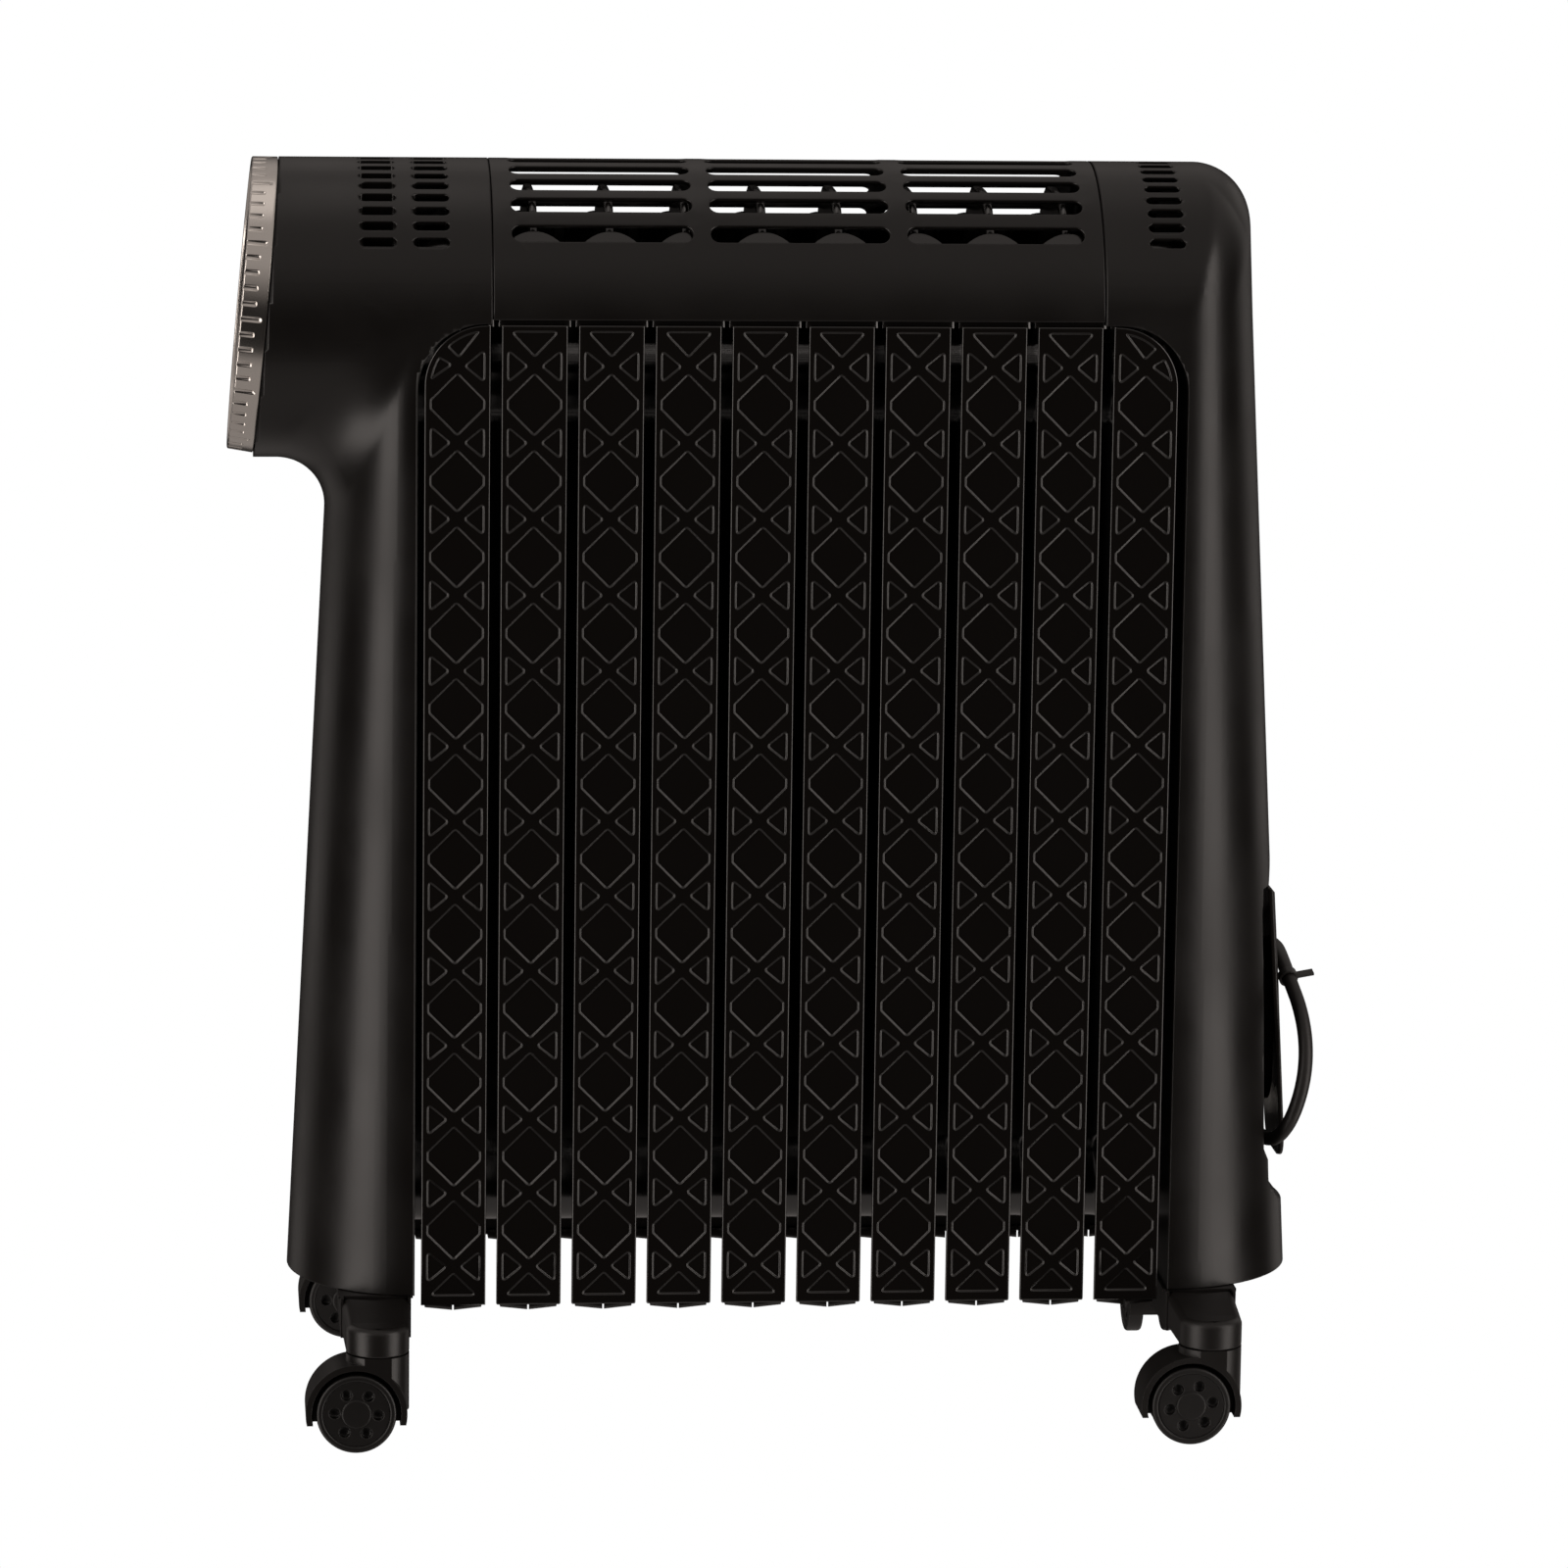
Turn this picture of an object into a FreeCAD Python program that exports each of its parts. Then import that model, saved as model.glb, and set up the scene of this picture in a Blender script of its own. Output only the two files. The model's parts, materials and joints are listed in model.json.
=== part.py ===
"""Oil filled radiator heater: ten fins between two moulded housings on four twin-wheel casters.

Frame: millimetres, +Z up, origin on the floor under the middle of the heater.
+X runs from the round control panel at the front to the cord winder at the rear.
"""
import FreeCAD, Part
import math
import os
import re

doc = FreeCAD.newDocument("OilRadiator")
V = FreeCAD.Vector

# ---------------------------------------------------------------- driving dimensions
DIMS = {
    # fins
    "fin_count": 10, "fin_pitch": 38.4, "fin_first_x": -161.9, "fin_gauge": 4.6,
    "flap_width": 32.9, "flap_gauge": 1.2, "flap_face_y": 75.15,
    "flap_low_z": 62.8, "flap_high_z": 565.0, "fin_core_low_z": 79.0, "fin_crown_radius": 62.0,
    "petal_width": 36.0, "petal_height": 47.5, "petal_lean": 19.5, "end_corner_radius": 31.0,
    "collar_radius": 21.0, "collar_low_z": 111.0, "collar_high_z": 528.0, "oil_bore_radius": 12.0,
    # housings and top cover
    "wall": 2.5, "drum_radius": 76.0, "drum_axis_z": 565.5, "column_half_depth": 75.6,
    "housing_low_z": 68.1, "front_seam_x": -144.6, "rear_seam_x": 162.8, "seam_gap": 0.3,
    "front_chord_x": -181.6, "front_reach_low": 64.0, "front_reach_high": 40.3,
    "rear_chord_x": 205.4, "rear_reach_low": 70.9, "rear_reach_high": 41.6, "rear_reach_top": 37.5,
    "rear_crown_radius": 27.0, "window_corner_radius": 34.0, "cover_low_z": 567.4,
    "grille_slot_height": 9.2, "grille_slot_length": 89.9,
    "grille_group_pitch": 98.9, "grille_first_x": -134.6, "vent_pitch_deg": 6.85,
    "vent_slot_height": 4.9, "vent_slot_length": 18.1, "front_vent_x": -210.4,
    "front_vent_pitch": 26.6, "rear_vent_x": 185.6,
    # control panel, along its own axis
    "panel_x": -256.2, "panel_z": 566.5, "panel_tilt": 5.0, "ring_radius": 75.1,
    "ring_front_radius": 74.1, "ring_inner_radius": 71.05, "ring_front": 13.7, "ring_back": 0.6,
    "carrier_radius": 71.0,
    "bezel_radius": 69.8, "bezel_inner_radius": 66.5, "lens_radius": 66.4,
    "button_radius": 7.0, "button_fit": 0.2, "button_circle": 44.0,
    # rear recess, cord winder and cord
    "pocket_floor_x": 238.0, "pocket_half_depth": 42.0, "pocket_low_z": 111.0,
    "pocket_high_z": 265.0, "cord_diameter": 7.5, "coil_mid_z": 195.0,
    "coil_half_height": 61.0, "coil_half_depth": 38.0, "coil_inner_height": 43.5,
    "coil_inner_depth": 20.5, "coil_back_x": 239.0, "coil_front_x": 262.0,
    "winder_plate_gauge": 2.5, "winder_plate_half_depth": 26.0, "relief_x": 244.5,
    "relief_y": -34.2, "relief_length": 23.0, "plug_x": 258.0, "plug_y": 79.0, "plug_top_z": 184.0,
    # mains plug pins
    "pin_radius": 2.4, "pin_length": 19.0, "pin_spacing": 19.0,
    # casters
    "front_swivel_x": -201.4, "rear_swivel_x": 222.4, "swivel_y": 113.5, "wheel_radius": 20.2,
    "wheel_trail": 10.8, "wheel_width": 8.0, "wheel_inner_y": 6.2, "wheel_well_radius": 22.6,
    "hood_radius": 25.6, "hood_half_width": 14.5, "web_half_width": 5.6, "barrel_radius": 16.0,
    "barrel_top_z": 49.2, "hood_low_z": 14.5, "arm_low_z": 49.6, "arm_high_z": 64.0,
    "arm_root_z": 67.3, "arm_root_y": 37.0, "arm_inner_y": 62.0,
    "stem_radius": 5.0, "axle_radius": 2.5, "running_fit": 0.06,
    "channel_low_z": 47.5, "channel_gauge": 1.5, "bolt_radius": 2.5, "bolt_y": 55.0,
}
sheet = doc.addObject("Spreadsheet::Sheet", "Dims")
for row, (alias, value) in enumerate(DIMS.items(), start=1):
    sheet.set("A%d" % row, alias)
    sheet.set("B%d" % row, str(value))
    sheet.setAlias("B%d" % row, alias)
doc.recompute()


def size(alias):
    """The value of one cell of the sheet, in millimetres or degrees."""
    return float(sheet.get(alias))


def formula(text):
    """An expression with each alias turned into a reference to the sheet."""
    return re.sub(r"[a-z][a-z_]+", lambda m: "Dims." + m[0] if m[0] in DIMS else m[0], str(text))


# ---------------------------------------------------------------- builders
NODES = []
TURNS = {
    "X": FreeCAD.Rotation(V(0, 1, 0), 90),
    "Y": FreeCAD.Rotation(V(1, 0, 0), -90),
    "Z": FreeCAD.Rotation(),
}


def keep(obj, label):
    """Name a finished sub-part."""
    obj.Label = label
    NODES.append(obj)
    return obj


def bind(obj, at, **sizes):
    """Tie an object's sizes and position to formulas of the sheet's cells."""
    for prop, text in sizes.items():
        obj.setExpression(prop, formula(text))
    for axis, text in zip("xyz", at):
        obj.setExpression("Placement.Base." + axis, formula(text))
    return obj


def box(x_size, y_size, z_size, at=("0", "0", "0"), turn=None):
    """A box whose low corner is at the given point."""
    obj = doc.addObject("Part::Box", "Box")
    if turn is not None:
        obj.Placement = FreeCAD.Placement(V(), turn)
    return bind(obj, at, Length=x_size, Width=y_size, Height=z_size)


def rod(radius, length, at=("0", "0", "0"), along="Z"):
    """A cylinder that starts at the given point and runs along an axis."""
    obj = doc.addObject("Part::Cylinder", "Cylinder")
    obj.Placement = FreeCAD.Placement(V(), TURNS[along])
    return bind(obj, at, Radius=radius, Height=length)


def fuse(*parts):
    obj = doc.addObject("Part::MultiFuse", "Fuse")
    obj.Shapes = list(parts)
    return obj


def group(*parts):
    """Separate solids kept as one node."""
    obj = doc.addObject("Part::Compound", "Group")
    obj.Links = list(parts)
    return obj


def cut(base, *tools):
    obj = doc.addObject("Part::Cut", "Cut")
    obj.Base = base
    obj.Tool = tools[0] if len(tools) == 1 else fuse(*tools)
    return obj


def tube(outer, inner, length, at=("0", "0", "0"), along="Z"):
    """A plain ring with a through bore."""
    return cut(rod(outer, length, at, along), rod(inner, length, at, along))


def place(obj, at, turn):
    """Set a finished sub-part down in the row's frame; its sizes keep their own frame."""
    obj.Placement = FreeCAD.Placement(V(), turn)
    for axis, text in zip("xyz", at):
        obj.setExpression("Placement.Base." + axis, formula(text))
    return obj


def feature(label, shape):
    """A sub-part whose shape comes from Part's own functions."""
    obj = doc.addObject("Part::Feature", "Shape")
    obj.Shape = shape
    return keep(obj, label)


# ---------------------------------------------------------------- fins
def fin(number):
    """A pressed steel fin: core with oil collars, two side flaps and their bent-in petals."""
    mid = "(fin_first_x + %d * fin_pitch)" % (number - 1)
    half = "fin_gauge / 2"
    inner_y = "flap_face_y - flap_gauge"
    core = box("fin_gauge", "2 * (%s)" % inner_y, "collar_high_z - fin_core_low_z",
               (mid + " - " + half, "-(%s)" % inner_y, "fin_core_low_z"))
    crown = rod("fin_crown_radius", "fin_gauge", (mid + " - " + half, "0", "drum_axis_z"), "X")
    neck = box("fin_gauge", "2 * fin_crown_radius", "drum_axis_z - collar_high_z",
               (mid + " - " + half, "-fin_crown_radius", "collar_high_z - 6"))
    pieces = [core, crown, neck]
    for side in (-1, 1):
        low_y = "-flap_face_y" if side < 0 else inner_y
        pieces.append(box("flap_width", "flap_gauge", "flap_high_z - flap_low_z",
                          (mid + " - flap_width / 2", low_y, "flap_low_z")))
        lean = FreeCAD.Rotation(V(1, 0, 0), side * size("petal_lean"))
        petal_y = "-71.5" if side < 0 else "71.5 - flap_gauge"
        pieces.append(box("petal_width", "flap_gauge", "petal_height",
                          (mid + " - petal_width / 2", petal_y, "flap_high_z"), lean))
        pieces.append(box("petal_width", "4.2", "2.4",
                          (mid + " - petal_width / 2",
                           "-flap_face_y + 0.4" if side < 0 else "flap_face_y - 4.6",
                           "flap_high_z - 2")))
    for level in ("collar_low_z", "collar_high_z"):
        pieces.append(rod("collar_radius", "fin_pitch", (mid + " - fin_pitch / 2", "0", level), "X"))
    tools = [rod("oil_bore_radius", "fin_pitch", (mid + " - fin_pitch / 2", "0", "collar_low_z"), "X")]
    last = int(size("fin_count"))
    if number in (1, last):
        tools.append(corner_tool(mid, -1 if number == 1 else 1))
    return keep(cut(fuse(*pieces), *tools), "fin_%02d" % number)


def corner_tool(mid, side):
    """What rounds the top outer corner of an end fin's flaps."""
    edge = "%s + %d * flap_width / 2" % (mid, side)
    centre = "%s - %d * end_corner_radius" % (edge, side)
    low_x = edge if side < 0 else centre
    block = box("end_corner_radius + 3", "240", "end_corner_radius + 60",
                (low_x + (" - 3" if side < 0 else ""), "-120", "flap_high_z - end_corner_radius"))
    disc = rod("end_corner_radius", "240", (centre, "-120", "flap_high_z - end_corner_radius"), "Y")
    inside = box("end_corner_radius * 2", "144", "140",
                 (centre + " - end_corner_radius", "-72", "flap_high_z - 60"))
    return cut(block, disc, inside)


for number in range(1, int(size("fin_count")) + 1):
    fin(number)


# ---------------------------------------------------------------- housings
def half_ellipse(chord_x, reach, half_depth, level, direction):
    """A closed half ellipse in plan: a straight chord across and a bow towards the end."""
    low, high = V(chord_x, -half_depth, level), V(chord_x, half_depth, level)
    bow = Part.Ellipse(high, V(chord_x + direction * reach, 0, level), V(chord_x, 0, level))
    arc = Part.ArcOfEllipse(bow, 0, math.pi).toShape()
    return Part.Wire([arc, Part.makeLine(low, high)])


def column(chord_x, half_depth, levels, direction):
    """A tapering column: half ellipses lofted straight between (level, reach) pairs."""
    wires = [half_ellipse(chord_x, reach, half_depth, level, direction) for level, reach in levels]
    return Part.makeLoft(wires, True, True)


def drum(radius, low_x, high_x):
    return Part.makeCylinder(radius, high_x - low_x, V(low_x, 0, size("drum_axis_z")), V(1, 0, 0))


def fin_window(chord_x, seam_x, direction, grow):
    """The opening for the fins below the drum, with a rounded upper corner."""
    radius = size("window_corner_radius") - grow
    edge = chord_x + direction * -grow
    top = size("drum_axis_z") + grow
    far = seam_x - direction * 20
    centre_x = edge - direction * radius
    low_x, high_x = sorted((edge, far))
    lower = Part.makeBox(high_x - low_x, 400, top - radius + 20, V(low_x, -200, -20))
    low_x, high_x = sorted((centre_x, far))
    upper = Part.makeBox(high_x - low_x, 400, top + 20, V(low_x, -200, -20))
    disc = Part.makeCylinder(radius, 400, V(centre_x, -200, top - radius), V(0, 1, 0))
    return lower.fuse([upper, disc])


def panel_front(gap):
    """Everything in front of the tilted panel plane, moved back by a gap."""
    block = Part.makeBox(400, 400, 200, V(-200, -200, -gap))
    block.Placement = FreeCAD.Placement(
        V(size("panel_x"), 0, size("panel_z")), FreeCAD.Rotation(V(0, 1, 0), size("panel_tilt") - 90)
    ) * block.Placement
    return block


def front_form(wall):
    """The front housing's outer form, or its inner one when a wall is given."""
    reach = [(size("housing_low_z") + wall, size("front_reach_low") - wall),
             (size("drum_axis_z") - wall, size("front_reach_high") - wall)]
    low_x = size("front_chord_x")
    form = drum(size("drum_radius") - wall, -300, size("front_seam_x") + wall)
    form = form.fuse(column(low_x, size("column_half_depth") - wall, reach, -1))
    form = form.cut(panel_front(wall))
    return form.cut(fin_window(low_x, size("front_seam_x"), -1, 0))


# Angles of the slot rows to either side of the crown; the vents' are counted in pitches.
GRILLE_ANGLES = [5.2, 17.6, 29.2, 41.0, 54.5]
VENT_ROWS = [step + 0.5 for step in range(9)]


def vents(xs, length, rows, pitch, height):
    """Cutters for rows of vent slots round the drum, both sides of the top."""
    tools = []
    for low_x in xs:
        for row_number in rows:
            for side in (-1, 1):
                slot = Part.makeBox(length, height, 40, V(low_x, -height / 2, 60))
                slot.Placement = FreeCAD.Placement(
                    V(0, 0, size("drum_axis_z")),
                    FreeCAD.Rotation(V(1, 0, 0), side * row_number * pitch))
                tools.append(slot)
    return Part.makeCompound(tools)


def front_housing():
    shell = front_form(0).cut(front_form(size("wall")))
    opening = Part.makeCylinder(size("carrier_radius") + 0.3, 60, V(0, 0, -30))
    opening.Placement = FreeCAD.Placement(
        V(size("panel_x"), 0, size("panel_z")), FreeCAD.Rotation(V(0, 1, 0), size("panel_tilt") - 90)
    ) * opening.Placement
    firsts = [size("front_vent_x"), size("front_vent_x") + size("front_vent_pitch")]
    slots = vents(firsts, size("vent_slot_length"), VENT_ROWS, size("vent_pitch_deg"),
                  size("vent_slot_height"))
    hollow = drum(size("drum_radius") - size("wall"), size("front_chord_x") - 1,
                  size("front_seam_x") + 5)
    hollow = hollow.cut(fin_window(size("front_chord_x"), size("front_seam_x"), -1, size("wall")))
    return shell.cut([opening, slots, hollow])


# Side view of the rear recess: a shallow cut with a sloping ledge below it.
RECESS_OUTLINE = [(300, 97), (273.4, 100.5), (265.9, 109.6), (264, 122.8), (258.4, 135),
                  (255.6, 261), (255.6, 270.8), (260.4, 270.8), (263.4, 290), (300, 290)]


def rear_form(wall):
    """The rear housing's outer form, or its inner one when a wall is given."""
    chord = size("rear_chord_x")
    depth = size("column_half_depth") - wall
    axis_z = size("drum_axis_z")
    lower = column(chord, depth, [(size("housing_low_z") + wall, size("rear_reach_low") - wall),
                                  (axis_z, size("rear_reach_high") - wall)], 1)
    upper = column(chord, depth, [(axis_z, size("rear_reach_high") - wall),
                                  (axis_z + 80, size("rear_reach_top") - wall)], 1)
    tube_form = drum(size("drum_radius") - wall, size("rear_seam_x") - wall, chord)
    cap = drum(size("drum_radius") - wall, chord - 1, chord + 60).common(upper)
    crown = size("rear_crown_radius")
    corner_x, corner_z = chord + size("rear_reach_top") + 1 - wall, axis_z + size("drum_radius") - wall
    corner = Part.makeBox(60, 400, 60, V(corner_x - crown, -200, corner_z - crown))
    corner = corner.cut(Part.makeCylinder(crown, 400, V(corner_x - crown, -200, corner_z - crown),
                                          V(0, 1, 0)))
    form = tube_form.fuse([lower, cap.cut(corner)])
    points = [V(x, -200, z) for x, z in RECESS_OUTLINE + RECESS_OUTLINE[:1]]
    notch = Part.Face(Part.makePolygon(points)).extrude(V(0, 400, 0))
    notches = [notch.translated(V(-wall, 0, lift)) for lift in (-wall, wall)]
    half = size("pocket_half_depth") + wall
    floor_x = size("pocket_floor_x") - wall
    pocket = Part.makeBox(60, 2 * half, size("pocket_high_z") - size("pocket_low_z") + 2 * wall,
                          V(floor_x, -half, size("pocket_low_z") - wall))
    form = form.cut(notches + [pocket])
    return form.cut(fin_window(chord, size("rear_seam_x"), 1, 0))


def rear_housing():
    shell = rear_form(0).cut(rear_form(size("wall")))
    slots = vents([size("rear_vent_x")], size("vent_slot_length"), VENT_ROWS,
                  size("vent_pitch_deg"), size("vent_slot_height"))
    hollow = drum(size("drum_radius") - size("wall"), size("rear_seam_x") - 5,
                  size("rear_chord_x") + 1)
    hollow = hollow.cut(fin_window(size("rear_chord_x"), size("rear_seam_x"), 1, size("wall")))
    return shell.cut([slots, hollow])


feature("front_housing", front_housing())
feature("rear_housing", rear_housing())


def top_cover():
    """The arched grille over the fins."""
    low_x = size("front_seam_x") + size("seam_gap")
    high_x = size("rear_seam_x") - size("seam_gap")
    shell = drum(size("drum_radius"), low_x, high_x)
    shell = shell.cut(drum(size("drum_radius") - size("wall"), low_x - 5, high_x + 5))
    below = Part.makeBox(600, 400, 400, V(-300, -200, size("cover_low_z") - 400))
    firsts = [size("grille_first_x") + step * size("grille_group_pitch") for step in range(3)]
    slots = vents(firsts, size("grille_slot_length"), GRILLE_ANGLES, 1, size("grille_slot_height"))
    return shell.cut([below, slots])


feature("top_cover", top_cover())

for label, low_x in (("front_heat_shield", "front_chord_x - 1.6"),
                     ("rear_heat_shield", "rear_chord_x + 0.6")):
    plate = box("1", "2 * column_half_depth - 8", "drum_axis_z - housing_low_z - 14",
                (low_x, "-(column_half_depth - 4)", "housing_low_z + 8"))
    reliefs = [rod("collar_radius + 3", "20", (low_x + " - 10", "0", level), "X")
               for level in ("collar_low_z", "collar_high_z")]
    keep(cut(plate, *reliefs), label)

# ---------------------------------------------------------------- heating parts
element_start = "(fin_first_x - fin_pitch / 2 - 9)"
heater_rod = rod("6.5", "fin_count * fin_pitch - 30", (element_start, "0", "collar_low_z"), "X")
heater_head = rod("20", "9", (element_start, "0", "collar_low_z"), "X")
keep(fuse(heater_rod, heater_head), "heating_element")
plug_start = "(fin_first_x + (fin_count - 0.5) * fin_pitch)"
keep(fuse(rod("oil_bore_radius", "8", (plug_start + " - 8", "0", "collar_low_z"), "X"),
          rod("16", "2.4", (plug_start, "0", "collar_low_z"), "X")), "oil_filler_plug")
keep(fuse(rod("8", "5", ("fin_first_x - fin_pitch / 2 - 5 - 3.4", "0", "collar_high_z"), "X"),
          rod("4", "3.4", ("fin_first_x - fin_pitch / 2 - 3.4", "0", "collar_high_z"), "X")),
     "thermal_cutout")
keep(fuse(box("1.6", "84", "120", ("-212", "-42", "290")),
          box("14", "20", "24", ("-210.5", "-32", "310")),
          box("14", "20", "24", ("-210.5", "12", "310")),
          box("10", "50", "30", ("-210.5", "-25", "360"))), "power_board")
keep(box("16", "22", "26", ("-214", "-11", "housing_low_z + wall")), "tip_over_switch")

# ---------------------------------------------------------------- control panel
PANEL_AT = ("panel_x", "0", "panel_z")
PANEL_TURN = FreeCAD.Rotation(V(0, 1, 0), size("panel_tilt") - 90)


def on_panel(obj, label):
    """Panel pieces are modelled with +Z out of the panel and +X up its face."""
    return keep(place(obj, PANEL_AT, PANEL_TURN), label)


ring_blank = doc.addObject("Part::Cone", "Cone")
bind(ring_blank, ("0", "0", "ring_back"), Radius1="ring_radius", Radius2="ring_front_radius",
     Height="ring_front - ring_back")
on_panel(cut(ring_blank, rod("ring_inner_radius", "30", ("0", "0", "-5"))), "dial_ring")
carrier_wall = tube("carrier_radius", "carrier_radius - 1.2", "23.2", ("0", "0", "-11"))
carrier_floor = rod("carrier_radius - 0.6", "2", ("0", "0", "-12.4"))
carrier_flange = tube("drum_radius - wall - 0.6", "carrier_radius - 0.6", "2.2",
                      ("0", "0", "-wall - 2.2"))
on_panel(fuse(carrier_wall, carrier_floor, carrier_flange), "panel_carrier")
on_panel(tube("bezel_radius", "bezel_inner_radius", "8.6", ("0", "0", "4")), "bezel_ring")
BUTTON_ANGLES = {"power_button": 180, "mode_button": 140, "timer_button": 220}


def on_button_circle(angle):
    """Where a button sits on the panel face, as two formulas."""
    turn = math.radians(angle)
    return "%.6f * button_circle" % math.cos(turn), "%.6f * button_circle" % math.sin(turn)


holes = []
for angle in BUTTON_ANGLES.values():
    across, along = on_button_circle(angle)
    holes.append(rod("button_radius + button_fit", "20", (across, along, "0")))
on_panel(cut(rod("lens_radius", "3", ("0", "0", "6.6")), *holes), "display_lens")
on_panel(group(rod("60", "1.6", ("0", "0", "-3"))), "display_board")
on_panel(group(box("30", "56", "5", ("-5", "-28", "-1.4"))), "display_module")
for label, angle in BUTTON_ANGLES.items():
    across, along = on_button_circle(angle)
    cap = rod("button_radius", "5.4", (across, along, "5.2"))
    stem = rod("2.5", "4.6", (across, along, "1.2"))
    on_panel(fuse(cap, stem), label)

# ---------------------------------------------------------------- casters
CASTERS = {
    "front_left": ("front_swivel_x", -1, 0, -3), "front_right": ("front_swivel_x", 1, 0, -3),
    "rear_left": ("rear_swivel_x", -1, 0, 9), "rear_right": ("rear_swivel_x", 1, 90, 9),
}


def bracket(label, swivel_x):
    """A folded steel channel that carries two caster arms under the heater."""
    top = box("38", "2 * 74", "channel_gauge",
              (swivel_x + " - 19", "-74", "housing_low_z - 0.1 - channel_gauge"))
    sides = [box("channel_gauge", "2 * 80", "housing_low_z - 0.1 - channel_low_z",
                 ("%s + %s" % (swivel_x, offset), "-80", "channel_low_z"))
             for offset in ("16.4", "-(16.4 + channel_gauge)")]
    return keep(fuse(top, *sides), label)


bracket("front_caster_bracket", "front_swivel_x")
bracket("rear_caster_bracket", "rear_swivel_x")


def caster_arm():
    """The arm in its own frame: swivel axis at the origin, the heater towards +Y."""
    root = box("2 * barrel_radius", "arm_inner_y",
               "housing_low_z - 0.1 - channel_gauge - arm_low_z - 2",
               ("-barrel_radius", "0", "arm_low_z + 2"))
    end = rod("barrel_radius", "arm_high_z - arm_low_z", ("0", "0", "arm_low_z"))
    slope = doc.addObject("Part::Wedge", "Wedge")
    for prop, text in {"Xmin": "-barrel_radius", "Xmax": "barrel_radius", "Ymin": "2",
                       "Ymax": "arm_root_y", "Zmin": "arm_low_z + 2", "Zmax": "arm_high_z",
                       "X2min": "-barrel_radius", "X2max": "barrel_radius",
                       "Z2min": "arm_low_z + 2", "Z2max": "arm_root_z"}.items():
        slope.setExpression(prop, formula(text))
    bore = rod("stem_radius + running_fit", "12", ("0", "0", "arm_low_z - 1"))
    bolt_holes = [rod("bolt_radius + 0.1", "40", (x, "bolt_y", "arm_low_z")) for x in ("-8", "8")]
    return cut(fuse(root, end, slope), bore, *bolt_holes)


def caster_hood():
    """The swivelling hood over both wheels, with the central web that holds the axle."""
    barrel = rod("barrel_radius", "barrel_top_z - wheel_radius", ("0", "0", "wheel_radius"))
    arch = rod("hood_radius", "2 * hood_half_width",
               ("-wheel_trail", "-hood_half_width", "wheel_radius"), "Y")
    wells = [rod("wheel_well_radius", "hood_half_width + 3 - web_half_width",
                 ("-wheel_trail", start, "wheel_radius"), "Y")
             for start in ("web_half_width", "-(hood_half_width + 3)")]
    below = box("120", "60", "40", ("-70", "-30", "hood_low_z - 40"))
    side_cuts = [box("60", "10", "80", ("-30", start, "-10"))
                 for start in ("hood_half_width", "-(hood_half_width + 10)")]
    stem_hole = rod("stem_radius", "14", ("0", "0", "barrel_top_z - 13"))
    axle_hole = rod("axle_radius", "40", ("-wheel_trail", "-20", "wheel_radius"), "Y")
    return cut(fuse(barrel, arch), *wells, below, *side_cuts, stem_hole, axle_hole)


def caster_pins():
    stem = rod("stem_radius", "23", ("0", "0", "barrel_top_z - 13"))
    axle = rod("axle_radius", "2 * hood_half_width - 5",
               ("-wheel_trail", "-hood_half_width + 2.5", "wheel_radius"), "Y")
    return group(stem, axle)


def caster_wheel(side, spin):
    """A wheel with a closed hub cap and six holes; it turns on the end of the axle."""
    start = "wheel_inner_y" if side > 0 else "-(wheel_inner_y + wheel_width)"
    disc = rod("wheel_radius", "wheel_width", ("-wheel_trail", start, "wheel_radius"), "Y")
    bore_start = "0" if side > 0 else "-(hood_half_width - 2.2)"
    bore = rod("axle_radius + running_fit", "hood_half_width - 2.2",
               ("-wheel_trail", bore_start, "wheel_radius"), "Y")
    lightening = []
    hole_start = "wheel_inner_y + wheel_width - 4" if side > 0 else "-(wheel_inner_y + wheel_width + 1)"
    for step in range(6):
        turn = math.radians(60 * step + spin)
        lightening.append(rod("3", "5", ("-wheel_trail + %.4f * 11" % math.cos(turn), hole_start,
                                         "wheel_radius + %.4f * 11" % math.sin(turn)), "Y"))
    return cut(disc, bore, *lightening)


for corner, (swivel_x, side, swivel, spin) in CASTERS.items():
    spot = (swivel_x, "%d * swivel_y" % side, "0")
    arm_turn = FreeCAD.Rotation(V(0, 0, 1), 0 if side < 0 else 180)
    fork_turn = FreeCAD.Rotation(V(0, 0, 1), swivel)
    keep(place(caster_arm(), spot, arm_turn), "caster_arm_" + corner)
    keep(place(caster_hood(), spot, fork_turn), "caster_hood_" + corner)
    keep(place(caster_pins(), spot, fork_turn), "caster_pins_" + corner)
    keep(place(caster_wheel(-1, spin), spot, fork_turn), "caster_wheel_a_" + corner)
    keep(place(caster_wheel(1, spin), spot, fork_turn), "caster_wheel_b_" + corner)

# ---------------------------------------------------------------- fasteners
bolts = []
for swivel_x in ("front_swivel_x", "rear_swivel_x"):
    for side in (-1, 1):
        for offset in (-8, 8):
            spot = ("%s + %d" % (swivel_x, offset), "%d * (swivel_y - bolt_y)" % side,
                    "arm_low_z - 1")
            head = rod("5", "3", spot)
            shank = rod("bolt_radius", "housing_low_z - 0.1 - channel_gauge - arm_low_z + 1", spot)
            bolts.append(fuse(head, shank))
keep(group(*bolts), "bracket_bolts")

# ---------------------------------------------------------------- cord winder and mains cord
# The plate leans a little outwards from its top to its lower tip.
PLATE_OUTLINE = [(260.4, 270.2), (264.9, 265.3), (268.3, 214.7), (272.7, 124.3)]


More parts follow.
